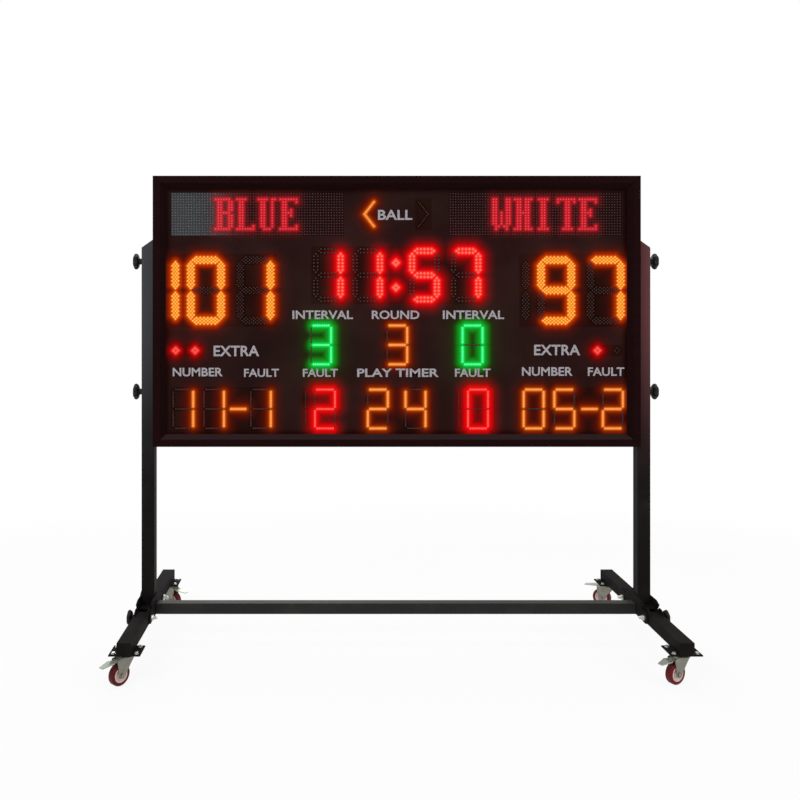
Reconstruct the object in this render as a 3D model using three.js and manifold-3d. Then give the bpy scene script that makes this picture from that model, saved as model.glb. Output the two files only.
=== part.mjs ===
// Electronic scoreboard clamped in a folding stand on casters.
// Millimetres, +Z up, the display faces -Y, the origin is on the floor under the middle.
import * as THREE from 'three';
import { mergeVertices } from 'three/addons/utils/BufferGeometryUtils.js';
import Module from 'manifold-3d';

const wasm = await Module();
wasm.setup();

// Fits, shared by every piece
const fitGap = 0.3;
const overrun = 5;
const roundSides = 12;
const wheelSides = 20;

// Overall sizes
const panelWidth = 1800;
const panelHeight = 1000;
const standHeight = 1630;
const casterHeight = 105;
const footLength = 800;
const totalHeight = standHeight + casterHeight;
const panelBottom = totalHeight - panelHeight;
const panelMiddle = totalHeight - panelHeight / 2;

// Uprights and crossbar
const uprightSide = 48;
const uprightWall = 2;
const uprightTopDrop = 228;
const uprightSlant = 34;
const crossbarSide = 40;
const crossbarWall = 2;
const uprightX = panelWidth / 2 + fitGap + uprightSide / 2;

// Cabinet: front frame, face panel, shell and rear cover
const cabinetDepth = 88;
const frontOverhang = 33.5;
const frameDepth = 30;
const frameRim = 15;
const lipWidth = 26;
const bevelWidth = 19;
const bevelDepth = 20;
const faceThickness = 3;
const shellWall = 1.5;
const shellFlange = 28;
const coverThickness = 1.5;
const cabinetFront = -uprightSide / 2 - frontOverhang;
const cabinetBack = cabinetFront + cabinetDepth;
const frameBack = cabinetFront + frameDepth;
const faceFront = cabinetFront + bevelDepth + fitGap;
const faceBack = faceFront + faceThickness;
const coverFront = cabinetBack - coverThickness;

// Display boards: a plate behind the face, a block in each window, raised segments
const boardThickness = 2;
const boardFlange = 8;
const boardLink = 20;
const windowMargin = 6;
const segmentRise = 3;
const segmentGap = 3;
const scoreDigit = { width: 148, height: 259, stroke: 32 };
const clockDigit = { width: 112, height: 200, stroke: 20 };
const smallDigit = { width: 85, height: 149, stroke: 14 };
const matrixHeight = 160;
const matrixGroove = 2;
const matrixGrooveDepth = 1;
const arrow = { width: 48, height: 108, stroke: 13 };
const roundLamp = 14;
const dashLength = 60;

// Places on the face, in pixels of the reference photograph
const photoPanel = { left: 153.9, right: 635.3, top: 169, bottom: 448.8 };
const nameRowPixel = 208;
const scoreRowPixel = 287.2;
const clockRowPixel = 271.4;
const colonRowPixels = [258.5, 284.2];
const middleRowPixel = 343.8;
const bonusRowPixel = 349.6;
const bottomRowPixel = 410.3;
const clockPixels = [327, 365.6, 421.9, 461.6];
const colonPixel = 393.8;
const middlePixels = [321.2, 395.6, 469.1];
const homeFoulsPixel = 323.8;
const shotClockPixels = [375.9, 413.1];
const guestFoulsPixel = 475.5;

// Places from the face's edges inwards, and from the middle outwards
const faceHalf = panelWidth / 2 - lipWidth - bevelWidth;
const sideGap = { left: 21, right: 13 };
const scorePitch = 181;
const scoreHalfReach = 117;
const playerPitch = 114;
const dashPitch = 90;
const foulsHalfReach = 72;
const bonusSideGap = 22.5;
const bonusPitch = 72;
const arrowReach = 100.5;
const matrixSideGap = 20;
const matrixArrowGap = 71;

// What the cabinet holds inside, on the rear cover
const supply = { width: 210, height: 112, depth: 38, ledge: 14 };
const supplyShareOfWidth = 0.27;
const supplyShareOfHeight = -0.2;
const controller = { width: 220, height: 150, board: 1.6, post: 12, postRadius: 4 };
const controllerInset = 12;
const controllerChip = { width: 42, height: 42, rise: 3 };
const controllerTerminal = { width: 90, height: 16, rise: 12 };
const horn = { radius: 48, throat: 16, depth: 40, wall: 2.5, foot: 36 };
const hornShareOfWidth = -0.14;
const hornShareOfHeight = -0.2;
const inlet = { width: 50, height: 58, flange: 3, flangeEdge: 6, depth: 30 };
const inletSocket = { width: 26, height: 18, depth: 14 };
const switchWell = { width: 16, height: 22, depth: 12 };
const inletShareOfWidth = -0.38;
const inletRise = 90;
const inletSplit = 3;
const rocker = { gap: 0.8, crown: 3.5, tilt: 1.6, pivotDrop: 3 };

// Clamp knobs
const knobDropFromTop = 313;
const knobRiseFromBottom = 199;
const knob = { radius: 30, thickness: 21, neckRadius: 11, neckLength: 13, lobes: 6 };
const knobEdge = 4;
const knobLobeShare = 0.12;
const knobPointsPerLobe = 4;
const knobLobeShares = [0, 0.62, 1, 0.62];
const studRadius = 5;
const studClearance = 0.7;
const studReach = 18;
const bossRadius = 11;
const bossDepth = 14;

// Feet: fixed centre, folding legs and the lock knobs at their pivots
const footSide = 50;
const footHeight = 40;
const footWall = 2.5;
const pivotReach = 110;
const foldGap = 1;
const legSideGap = 0.5;
const cheekThickness = 4;
const cheekRadius = 22;
const cheekRise = 30;
const cheekTipSetback = 13;
const cheekTipRise = 21;
const cheekTipSlope = 27;
const notchSetback = 28;
const cheekToe = 30;
const legHornRise = 15;
const legHornStart = 16;
const legHornTop = 18;
const legHornEnd = 47;
const boltRadius = 6;
const boltClearance = 0.7;
const lockKnob = { radius: 28, thickness: 18, neckRadius: 10, neckLength: 9, lobes: 6 };
const lockNut = { radius: 10, thickness: 10, studBeyond: 12 };
const legCap = 3;
const seatPlate = { width: 105, depth: 85, thickness: 4 };
const footBottom = casterHeight;
const footTop = footBottom + footHeight;
const pivotHeight = footBottom + footHeight / 2;
const blockHalf = pivotReach - footHeight / 2 - legHornRise - foldGap;
const legLength = footLength / 2 - pivotReach;
const seatBottom = footBottom - seatPlate.thickness;
const swivelReach = footLength / 2 - seatPlate.depth / 2;

// Casters
const wheelRadius = 36.5;
const treadWidth = 24;
const treadRound = 6;
const treadDepth = 11;
const hubRecess = 4;
const hubRing = 5;
const hubBossRadius = 10;
const axleRadius = 4;
const axleClearance = 0.6;
const axleNut = { radius: 7, thickness: 4 };
const casterTrail = 32;
const casterPlate = { width: 95, depth: 67, thickness: 2.5 };
const raceRadius = 25;
const raceDepth = 7;
const raceTaper = 3;
const forkTop = 3;
const forkRadius = 27;
const forkLeg = 2.5;
const forkInner = 29;
const forkEye = 12;
const forkBack = 20;
const swivelGap = 0.5;
const pedalPin = { reach: 44, radius: 2.5, drop: 17 };
const pedal = { width: 25, wide: 36, tip: 18, thickness: 3, reach: 104, heel: 10, lift: 6 };
const pedalStepShare = 0.35;
const casterYaws = { front_left: 231, front_right: 208, rear_left: 330, rear_right: 143 };

// Finishes
const finish = (color, roughness, metalness) =>
  new THREE.MeshStandardMaterial({ color, roughness, metalness, flatShading: true });
const blackPowder = () => finish(0x1b1a1c, 0.55, 0.2);
const frameBlack = () => finish(0x141215, 0.4, 0.3);
const faceBlack = () => finish(0x1a0f10, 0.35, 0);
const ledPlate = (color) => finish(color, 0.4, 0);
const zinc = () => finish(0xa3a79c, 0.35, 0.85);
const treadRed = () => finish(0x5a1416, 0.45, 0);
const hubCream = () => finish(0xd9b9ad, 0.5, 0);
const blackPlastic = () => finish(0x151515, 0.5, 0);
const sheetMetal = () => finish(0x232124, 0.5, 0.4);
const bareMetal = () => finish(0xb9bcbe, 0.4, 0.8);
const boardGreen = () => finish(0x1d4a2c, 0.5, 0);
const amber = 0xff8a1e;
const red = 0xe0161a;
const green = 0x12c94a;
const matrixGrey = 0x2a2e30;

// Solids from geometries and back
function solidOf(geometry) {
  const bare = geometry.clone();
  bare.deleteAttribute('normal');
  bare.deleteAttribute('uv');
  const merged = mergeVertices(bare);
  const vertProperties = new Float32Array(merged.attributes.position.array);
  const triVerts = new Uint32Array(merged.index.array);
  return new wasm.Manifold(new wasm.Mesh({ numProp: 3, vertProperties, triVerts }));
}

function geometryOf(solid) {
  const mesh = solid.getMesh();
  const geometry = new THREE.BufferGeometry();
  geometry.setAttribute('position', new THREE.BufferAttribute(mesh.vertProperties, 3));
  geometry.setIndex(new THREE.BufferAttribute(mesh.triVerts, 1));
  geometry.computeVertexNormals();
  return geometry;
}

function boxSolid(x, y, z) {
  const [x0, x1] = x;
  const [y0, y1] = y;
  const [z0, z1] = z;
  const geometry = new THREE.BoxGeometry(x1 - x0, y1 - y0, z1 - z0);
  geometry.translate((x0 + x1) / 2, (y0 + y1) / 2, (z0 + z1) / 2);
  return solidOf(geometry);
}

const around = (middle, size) => [middle - size / 2, middle + size / 2];

function extruded(points, from, to) {
  const shape = new THREE.Shape(points.map(([u, v]) => new THREE.Vector2(u, v)));
  const geometry = new THREE.ExtrudeGeometry(shape, { depth: to - from, bevelEnabled: false });
  geometry.translate(0, 0, from);
  return geometry;
}

// Outline in (y, z), pushed along X
function prismAlongX(points, from, to) {
  const geometry = extruded(points, from, to);
  geometry.applyMatrix4(new THREE.Matrix4().set(0, 0, 1, 0, 1, 0, 0, 0, 0, 1, 0, 0, 0, 0, 0, 1));
  return solidOf(geometry);
}

// Outline in (x, z), pushed along Y
function prismAlongY(points, from, to) {
  const geometry = extruded(points, -to, -from);
  geometry.applyMatrix4(new THREE.Matrix4().set(1, 0, 0, 0, 0, 0, -1, 0, 0, 1, 0, 0, 0, 0, 0, 1));
  return solidOf(geometry);
}

// Outline in (x, y), pushed along Z
const prismAlongZ = (points, from, to) => solidOf(extruded(points, from, to));

function circlePoints(radius, sides, u = 0, v = 0, start = 0) {
  const points = [];
  for (let i = 0; i < sides; i += 1) {
    const angle = start + (2 * Math.PI * i) / sides;
    points.push([u + radius * Math.cos(angle), v + radius * Math.sin(angle)]);
  }
  return points;
}

function polar(radius, degrees) {
  const angle = THREE.MathUtils.degToRad(degrees);
  return [radius * Math.cos(angle), radius * Math.sin(angle)];
}

function arcPoints(radius, fromDegrees, toDegrees, steps) {
  const points = [];
  for (let i = 0; i <= steps; i += 1) {
    points.push(polar(radius, fromDegrees + ((toDegrees - fromDegrees) * i) / steps));
  }
  return points;
}

// Profile of [radius, height] points, turned about Z
function turned(profile, sides) {
  const points = profile.map(([r, h]) => new THREE.Vector2(r, h));
  const geometry = new THREE.LatheGeometry(points, sides);
  geometry.rotateX(Math.PI / 2);
  return solidOf(geometry);
}

function joined(solids) {
  return solids.reduce((whole, solid) => whole.add(solid));
}

// Rectangles [y, width, height] joined into one body along Y
function rectangularLoft(sections, middle) {
  const positions = [];
  for (const [y, width, height] of sections) {
    positions.push(-width / 2, y, middle - height / 2, width / 2, y, middle - height / 2);
    positions.push(width / 2, y, middle + height / 2, -width / 2, y, middle + height / 2);
  }
  const index = [0, 1, 2, 0, 2, 3];
  for (let s = 0; s < sections.length - 1; s += 1) {
    for (let side = 0; side < 4; side += 1) {
      const a = s * 4 + side;
      const b = s * 4 + ((side + 1) % 4);
      index.push(a, a + 4, b, b, a + 4, b + 4);
    }
  }
  const last = (sections.length - 1) * 4;
  index.push(last, last + 2, last + 1, last, last + 3, last + 2);
  const geometry = new THREE.BufferGeometry();
  geometry.setAttribute('position', new THREE.Float32BufferAttribute(positions, 3));
  geometry.setIndex(index);
  return solidOf(geometry);
}

function meshOf(name, solid, material) {
  const mesh = new THREE.Mesh(geometryOf(solid), material);
  mesh.name = name;
  return mesh;
}

// Photograph places turned into millimetres on the face
function acrossFace(pixel) {
  const middle = (photoPanel.left + photoPanel.right) / 2;
  return ((pixel - middle) / (photoPanel.right - photoPanel.left)) * panelWidth;
}

function upFace(pixel) {
  const share = (pixel - photoPanel.top) / (photoPanel.bottom - photoPanel.top);
  return totalHeight - share * panelHeight;
}

// Segment outlines in (x, z)
function barOutline(x, z, length, stroke, upright) {
  const tip = length / 2;
  const flat = tip - stroke / 2;
  const side = stroke / 2;
  const outline = [[-tip, 0], [-flat, -side], [flat, -side], [tip, 0], [flat, side], [-flat, side]];
  if (upright) return outline.map(([u, v]) => [x - v, z + u]);
  return outline.map(([u, v]) => [x + u, z + v]);
}

function digitBars(x, z, size) {
  const acrossHalf = (size.width - size.stroke) / 2;
  const upHalf = (size.height - size.stroke) / 2;
  const acrossLength = 2 * acrossHalf - segmentGap;
  const uprightLength = upHalf - segmentGap;
  const bars = [];
  for (const level of [-1, 0, 1]) {
    bars.push(barOutline(x, z + level * upHalf, acrossLength, size.stroke, false));
  }
  for (const side of [-1, 1]) {
    bars.push(...uprightPair(x + side * acrossHalf, z, upHalf, uprightLength, size.stroke));
  }
  return bars;
}

function uprightPair(x, z, upHalf, length, stroke) {
  return [-1, 1].map((level) => barOutline(x, z + (level * upHalf) / 2, length, stroke, true));
}

function halfDigitBars(x, z, size) {
  const upHalf = (size.height - size.stroke) / 2;
  return uprightPair(x, z, upHalf, upHalf - segmentGap, size.stroke);
}

function chevron(x, z, direction) {
  const half = arrow.width / 2;
  const up = arrow.height / 2;
  const inner = half - arrow.stroke;
  const outline = [[half, up], [inner, up], [-half, 0], [inner, -up], [half, -up], [-inner, 0]];
  const turnedOutline = outline.map(([u, v]) => [x + direction * u, z + v]);
  return direction > 0 ? turnedOutline : turnedOutline.reverse();
}

// A window holds a rectangle and the segment outlines in it
function windowOf(left, right, bottom, top, bars) {
  return {
    x: [left - windowMargin, right + windowMargin],
    z: [bottom - windowMargin, top + windowMargin],
    bars,
  };
}

function digitWindow(places, rowPixel, size) {
  const z = upFace(rowPixel);
  const bars = [];
  const edges = [];
  if (places.half !== undefined) {
    bars.push(...halfDigitBars(places.half, z, size));
    edges.push(places.half - size.stroke / 2);
  }
  for (const x of places.digits) {
    bars.push(...digitBars(x, z, size));
    edges.push(x - size.width / 2, x + size.width / 2);
  }
  if (places.dash !== undefined) {
    bars.push(barOutline(places.dash, z, dashLength, size.stroke, false));
  }
  if (places.colon !== undefined) {
    for (const pixel of colonRowPixels) {
      bars.push(circlePoints(roundLamp, 8, places.colon, upFace(pixel)));
    }
  }
  const bottom = z - size.height / 2;
  return windowOf(Math.min(...edges), Math.max(...edges), bottom, bottom + size.height, bars);
}

function lampWindow(middles) {
  const z = upFace(bonusRowPixel);
  const bars = middles.map((x) => circlePoints(roundLamp, 8, x, z));
  const left = Math.min(...middles) - roundLamp;
  return windowOf(left, Math.max(...middles) + roundLamp, z - roundLamp, z + roundLamp, bars);
}

function arrowWindow(direction) {
  const x = -direction * arrowReach;
  const z = upFace(nameRowPixel);
  const [left, right] = around(x, arrow.width);
  const [bottom, top] = around(z, arrow.height);
  return windowOf(left, right, bottom, top, [chevron(x, z, direction)]);
}

function playerPlaces(first) {
  const second = first + playerPitch;
  const dash = second + dashPitch;
  return { digits: [first, second, dash + dashPitch], dash };
}

function foulsPlaces(pixel) {
  const x = acrossFace(pixel);
  return { half: x - foulsHalfReach, digits: [x] };
}

const homeHalf = -faceHalf + sideGap.left + scoreDigit.stroke / 2;
const homeTens = homeHalf + scoreHalfReach;
const homeScore = { half: homeHalf, digits: [homeTens, homeTens + scorePitch] };
const guestUnits = faceHalf - sideGap.right - scoreDigit.width / 2;
const guestTens = guestUnits - scorePitch;
const guestScore = { half: guestTens - scoreHalfReach, digits: [guestTens, guestUnits] };
const gameClock = { digits: clockPixels.map(acrossFace), colon: acrossFace(colonPixel) };
const homePlayer = playerPlaces(-faceHalf + sideGap.left + smallDigit.width / 2);
const guestPlayerEnd = faceHalf - sideGap.right - smallDigit.width / 2;
const guestPlayer = playerPlaces(guestPlayerEnd - 2 * dashPitch - playerPitch);
const bonusReach = faceHalf - bonusSideGap - roundLamp;
const homeBonus = [-bonusReach, -bonusReach + bonusPitch];
const guestBonus = [bonusReach - bonusPitch, bonusReach];

const displayBoards = [
  {
    name: 'possession_board',
    color: amber,
    windows: [arrowWindow(1), arrowWindow(-1)],
  },
  {
    name: 'home_score_board',
    color: amber,
    windows: [digitWindow(homeScore, scoreRowPixel, scoreDigit)],
  },
  {
    name: 'clock_board',
    color: red,
    windows: [digitWindow(gameClock, clockRowPixel, clockDigit)],
  },
  {
    name: 'guest_score_board',
    color: amber,
    windows: [digitWindow(guestScore, scoreRowPixel, scoreDigit)],
  },
  {
    name: 'timeout_and_period_board',
    color: green,
    windows: middlePixels.map((pixel) =>
      digitWindow({ digits: [acrossFace(pixel)] }, middleRowPixel, smallDigit),
    ),
  },
  {
    name: 'home_lower_board',
    color: amber,
    windows: [
      lampWindow(homeBonus),
      digitWindow(homePlayer, bottomRowPixel, smallDigit),
      digitWindow(foulsPlaces(homeFoulsPixel), bottomRowPixel, smallDigit),
    ],
  },
  {
    name: 'shot_clock_board',
    color: amber,
    windows: [digitWindow({ digits: shotClockPixels.map(acrossFace) }, bottomRowPixel, smallDigit)],
  },
  {
    name: 'guest_lower_board',
    color: amber,
    windows: [
      lampWindow(guestBonus),
      digitWindow(guestPlayer, bottomRowPixel, smallDigit),
      digitWindow(foulsPlaces(guestFoulsPixel), bottomRowPixel, smallDigit),
    ],
  },
];

const matrixInner = arrowReach + arrow.width / 2 + matrixArrowGap;
const matrixOuter = faceHalf - matrixSideGap;
const matrixHeights = around(upFace(nameRowPixel), matrixHeight);

const nameBoards = [
  {
    name: 'home_name_matrix',
    window: { x: [-matrixOuter, -matrixInner], z: matrixHeights, bars: [] },
  },
  {
    name: 'guest_name_matrix',
    window: { x: [matrixInner, matrixOuter], z: matrixHeights, bars: [] },
  },
];

const grown = ([from, to], by) => [from - by, to + by];
const middleOf = ([from, to]) => (from + to) / 2;

// Board pieces
function boardBase(windows) {
  const plateFront = faceBack + fitGap;
  const plate = [plateFront, plateFront + boardThickness];
  const pieces = [];
  for (const opening of windows) {
    pieces.push(boxSolid(grown(opening.x, boardFlange), plate, grown(opening.z, boardFlange)));
    const block = [faceFront, plate[1]];
    pieces.push(boxSolid(grown(opening.x, -fitGap), block, grown(opening.z, -fitGap)));
  }
  for (let i = 1; i < windows.length; i += 1) {
    pieces.push(...boardLinks(windows[i - 1], windows[i], plate));
  }
  return joined(pieces);
}

// A strip up from the one window, then a strip across to the next
function boardLinks(from, to, plate) {
  const fromX = middleOf(from.x);
  const toX = middleOf(to.x);
  const fromZ = middleOf(from.z);
  const toZ = middleOf(to.z);
  const acrossRange = grown([Math.min(fromX, toX), Math.max(fromX, toX)], boardLink / 2);
  const upRange = grown([Math.min(fromZ, toZ), Math.max(fromZ, toZ)], boardLink / 2);
  return [
    boxSolid(around(fromX, boardLink), plate, upRange),
    boxSolid(acrossRange, plate, around(toZ, boardLink)),
  ];
}

function displayBoard(board) {
  const bars = board.windows.flatMap((opening) => opening.bars);
  const raised = bars.map((outline) => prismAlongY(outline, faceFront - segmentRise, faceBack));
  return meshOf(board.name, joined([boardBase(board.windows), ...raised]), ledPlate(board.color));
}

function nameBoard(board) {
  const groove = boxSolid(
    around(middleOf(board.window.x), matrixGroove),
    [faceFront - overrun, faceFront + matrixGrooveDepth],
    grown(board.window.z, overrun),
  );
  return meshOf(board.name, boardBase([board.window]).subtract(groove), ledPlate(matrixGrey));
}

// Cabinet
function frontFrame() {
  const body = boxSolid(around(0, panelWidth), [cabinetFront, frameBack], [panelBottom, totalHeight]);
  const outerInset = 2 * lipWidth;
  const innerInset = 2 * (lipWidth + bevelWidth);
  const outer = [panelWidth - outerInset, panelHeight - outerInset];
  const inner = [panelWidth - innerInset, panelHeight - innerInset];
  const sight = rectangularLoft([
    [cabinetFront - overrun, ...outer],
    [cabinetFront, ...outer],
    [cabinetFront + bevelDepth, ...inner],
    [frameBack + overrun, ...inner],
  ], panelMiddle);
  const pocket = boxSolid(
    around(0, panelWidth - 2 * frameRim),
    [cabinetFront + bevelDepth, frameBack + overrun],
    around(panelMiddle, panelHeight - 2 * frameRim),
  );
  return meshOf('front_frame', body.subtract(sight).subtract(pocket), frameBlack());
}

function facePanel() {
  const openings = displayBoards.flatMap((board) => board.windows);
  openings.push(...nameBoards.map((board) => board.window));
  const inset = 2 * (frameRim + fitGap);
  let plate = boxSolid(
    around(0, panelWidth - inset),
    [faceFront, faceBack],
    around(panelMiddle, panelHeight - inset),
  );
  for (const opening of openings) {
    const cut = boxSolid(opening.x, [faceFront - overrun, faceBack + overrun], opening.z);
    plate = plate.subtract(cut);
  }
  return meshOf('face_panel', plate, faceBlack());
}

const knobHeights = [totalHeight - knobDropFromTop, panelBottom + knobRiseFromBottom];

function cabinetShell() {
  const front = frameBack + fitGap;
  const flangeFront = coverFront - fitGap - shellWall;
  const inside = [panelWidth - 2 * shellWall, panelHeight - 2 * shellWall];
  const body = boxSolid(around(0, panelWidth), [front, cabinetBack], [panelBottom, totalHeight]);
  const frontRoom = boxSolid(
    around(0, inside[0]), [front - overrun, flangeFront], around(panelMiddle, inside[1]),
  );
  const coverRoom = boxSolid(
    around(0, inside[0]),
    [flangeFront + shellWall, cabinetBack + overrun],
    around(panelMiddle, inside[1]),
  );
  const doorway = boxSolid(
    around(0, panelWidth - 2 * shellFlange),
    [flangeFront - overrun, cabinetBack + overrun],
    around(panelMiddle, panelHeight - 2 * shellFlange),
  );
  let shell = body.subtract(frontRoom).subtract(coverRoom).subtract(doorway);
  for (const side of [-1, 1]) {
    for (const height of knobHeights) {
      const wall = (side * panelWidth) / 2;
      const bossEnds = [wall, wall - side * bossDepth].sort((a, b) => a - b);
      const boss = prismAlongX(circlePoints(bossRadius, roundSides, 0, height), ...bossEnds);
      const bore = prismAlongX(
        circlePoints(studRadius + studClearance, roundSides, 0, height),
        bossEnds[0] - overrun,
        bossEnds[1] + overrun,
      );
      shell = shell.add(boss).subtract(bore);
    }
  }
  return meshOf('cabinet_shell', shell, sheetMetal());
}

const inletX = inletShareOfWidth * panelWidth;
const inletZ = panelBottom + inletRise;

function rearCover() {
  const inset = 2 * (shellWall + fitGap);
  const plate = boxSolid(
    around(0, panelWidth - inset), [coverFront, cabinetBack], around(panelMiddle, panelHeight - inset),
  );
  const hole = boxSolid(
    around(inletX, inlet.width), [coverFront - overrun, cabinetBack + overrun], around(inletZ, inlet.height),
  );
  return meshOf('rear_cover', plate.subtract(hole), sheetMetal());
}

// Inside pieces, each standing on the rear cover
const coverSeat = coverFront - fitGap;

function powerSupply(name, side) {
  const x = side * supplyShareOfWidth * panelWidth;
  const z = panelMiddle + supplyShareOfHeight * panelHeight;
  const ledgeTop = coverSeat - supply.depth / 2;
  const body = boxSolid(
    around(x, supply.width), [coverSeat - supply.depth, coverSeat], around(z, supply.height),
  );
  const step = boxSolid(
    [x + supply.width / 2 - supply.ledge, x + supply.width / 2 + overrun],
    [coverSeat - supply.depth - overrun, ledgeTop],
    around(z, supply.height + 2 * overrun),
  );
  return meshOf(name, body.subtract(step), bareMetal());
}

function controllerBoard() {
  const z = panelMiddle;
  const back = coverSeat - controller.post;
  const front = back - controller.board;
  const pieces = [boxSolid(around(0, controller.width), [front, back], around(z, controller.height))];
  for (const side of [-1, 1]) {
    for (const level of [-1, 1]) {
      const x = side * (controller.width / 2 - controllerInset);
      const height = z + level * (controller.height / 2 - controllerInset);
      const post = circlePoints(controller.postRadius, roundSides / 2, x, height);
      pieces.push(prismAlongY(post, front, coverSeat));
    }
  }
  const chip = controllerChip;
  pieces.push(boxSolid(around(0, chip.width), [front - chip.rise, back], around(z, chip.height)));
  const terminal = controllerTerminal;
  const terminalZ = z - controller.height / 2 + controllerInset + terminal.height;
  pieces.push(
    boxSolid(around(0, terminal.width), [front - terminal.rise, back], around(terminalZ, terminal.height)),
  );
  return meshOf('controller_board', joined(pieces), boardGreen());
}

function buzzerHorn() {
  const outerThroat = horn.throat + horn.wall;
  const profile = [
    [0, 0],
    [horn.foot, 0],
    [horn.foot, horn.wall],
    [outerThroat, horn.wall],
    [horn.radius, horn.depth],
    [horn.radius - horn.wall, horn.depth],
    [horn.throat, horn.wall + horn.wall],
    [0, horn.wall + horn.wall],
  ];
  const mesh = meshOf('buzzer_horn', turned(profile, wheelSides), blackPlastic());
  mesh.rotation.x = Math.PI / 2;
  const z = panelMiddle + hornShareOfHeight * panelHeight;
  mesh.position.set(hornShareOfWidth * panelWidth, coverSeat, z);
  return mesh;
}

const wellZ = inletZ + inlet.height / 2 - inletSplit - switchWell.height / 2;
const socketZ = inletZ - inlet.height / 2 + inletSplit + inletSocket.height / 2;

function powerInlet() {
  const flangeFront = cabinetBack + fitGap;
  const outerFace = flangeFront + inlet.flange;
  const flange = boxSolid(
    around(inletX, inlet.width + 2 * inlet.flangeEdge),
    [flangeFront, outerFace],
    around(inletZ, inlet.height + 2 * inlet.flangeEdge),
  );
  const body = boxSolid(
    around(inletX, inlet.width - 2 * fitGap),
    [coverFront - inlet.depth, outerFace],
    around(inletZ, inlet.height - 2 * fitGap),
  );
  const socket = boxSolid(
    around(inletX, inletSocket.width),
    [outerFace - inletSocket.depth, outerFace + overrun],
    around(socketZ, inletSocket.height),
  );
  const well = boxSolid(
    around(inletX, switchWell.width),
    [outerFace - switchWell.depth, outerFace + overrun],
    around(wellZ, switchWell.height),
  );
  return meshOf('power_inlet', flange.add(body).subtract(socket).subtract(well), blackPlastic());
}

function rockerSwitch() {
  const outerFace = cabinetBack + fitGap + inlet.flange;
  const reach = switchWell.height / 2 - rocker.gap;
  const pivot = outerFace - rocker.pivotDrop;
  const outline = [
    [-rocker.crown, -reach + rocker.tilt],
    [rocker.pivotDrop + rocker.tilt, -reach],
    [rocker.pivotDrop, 0],
    [rocker.pivotDrop + rocker.tilt, reach],
    [-rocker.crown, reach - rocker.tilt],
    [-2 * rocker.crown, 0],
  ];
  const half = switchWell.width / 2 - rocker.gap;
  const mesh = meshOf('rocker_switch', prismAlongX(outline, -half, half), finish(0xa01818, 0.4, 0));
  mesh.position.set(inletX, pivot, wellZ);
  return mesh;
}

// Stand
function uprightTube() {
  const half = uprightSide / 2;
  const bore = half - uprightWall;
  const bottom = footTop + fitGap;
  const top = totalHeight - uprightTopDrop;
  const topAt = (x) => top - (uprightSlant * (x + half)) / uprightSide;
  const outer = [[-half, bottom], [half, bottom], [half, topAt(half)], [-half, topAt(-half)]];
  const inner = [
    [-bore, bottom - overrun],
    [bore, bottom - overrun],
    [bore, topAt(bore) - uprightWall],
    [-bore, topAt(-bore) - uprightWall],
  ];
  let tube = prismAlongY(outer, -half, half).subtract(prismAlongY(inner, -bore, bore));
  for (const height of knobHeights) {
    const hole = circlePoints(studRadius + studClearance, roundSides, 0, height);
    tube = tube.subtract(prismAlongX(hole, -half - overrun, half + overrun));
  }
  return tube;
}

function upright(name, side) {
  const mesh = meshOf(name, uprightTube(), blackPowder());
  mesh.position.x = side * uprightX;
  if (side < 0) mesh.rotation.z = Math.PI;
  return mesh;
}

function crossbar() {
  const reach = uprightX - footSide / 2 - cheekThickness - fitGap;
  const bore = crossbarSide - 2 * crossbarWall;
  const middle = footTop - crossbarSide / 2;
  const outer = boxSolid([-reach, reach], around(0, crossbarSide), around(middle, crossbarSide));
  const inner = boxSolid(grown([-reach, reach], overrun), around(0, bore), around(middle, bore));
  return meshOf('crossbar', outer.subtract(inner), blackPowder());
}

// Fixed cheek about the pivot: u towards the leg's end, v up, from the middle of the foot
function cheekOutline() {
  const half = footHeight / 2;
  return [
    [-pivotReach - fitGap, -half],
    [-cheekToe, -half],
    ...arcPoints(cheekRadius, -90, 90, 10),
    [-notchSetback, cheekRadius],
    [-cheekTipSetback, half + cheekTipRise],
    [-cheekTipSetback - cheekTipSlope, half + cheekRise],
    [-pivotReach - fitGap, half + cheekRise],
  ];
}

// Horn on top of the leg, in the plane of its side walls
function legHornOutline() {
  const half = footHeight / 2;
  const top = half + legHornRise;
  return [
    [-legHornStart, half - legHornRise],
    [legHornEnd, half - legHornRise],
    [legHornEnd, half],
    [(legHornEnd + legHornTop) / 2 + fitGap, (top + half) / 2 + fitGap],
    [legHornTop, top - fitGap],
    [0, top],
  ];
}

// Outlines are drawn for the front leg, whose end points to -Y
const towardsFront = (points) => points.map(([u, v]) => [-u, v]).reverse();

function footCentre(name, side) {
  const half = footSide / 2;
  const bore = half - footWall;
  const z = [footBottom, footTop];
  const tube = boxSolid(around(0, footSide), [-blockHalf, blockHalf], z);
  const pieces = [tube];
  for (const end of [-1, 1]) {
    for (const face of [-1, 1]) {
      const outline = cheekOutline().map(([u, v]) => [u + pivotReach, v + pivotHeight]);
      const placed = end > 0 ? outline : outline.map(([y, h]) => [-y, h]).reverse();
      const from = face > 0 ? half : -half - cheekThickness;
      pieces.push(prismAlongX(placed, from, from + cheekThickness));
    }
  }
  let body = joined(pieces);
  body = body.subtract(boxSolid(
    around(0, 2 * bore), grown([-blockHalf, blockHalf], overrun), [footBottom + footWall, footTop - footWall],
  ));
  const reach = half + cheekThickness + overrun;
  for (const end of [-1, 1]) {
    const hole = circlePoints(boltRadius + boltClearance, roundSides, end * pivotReach, pivotHeight);
    body = body.subtract(prismAlongX(hole, -reach, reach));
  }
  const mesh = meshOf(name, body, blackPowder());
  mesh.position.x = side * uprightX;
  return mesh;
}

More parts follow.
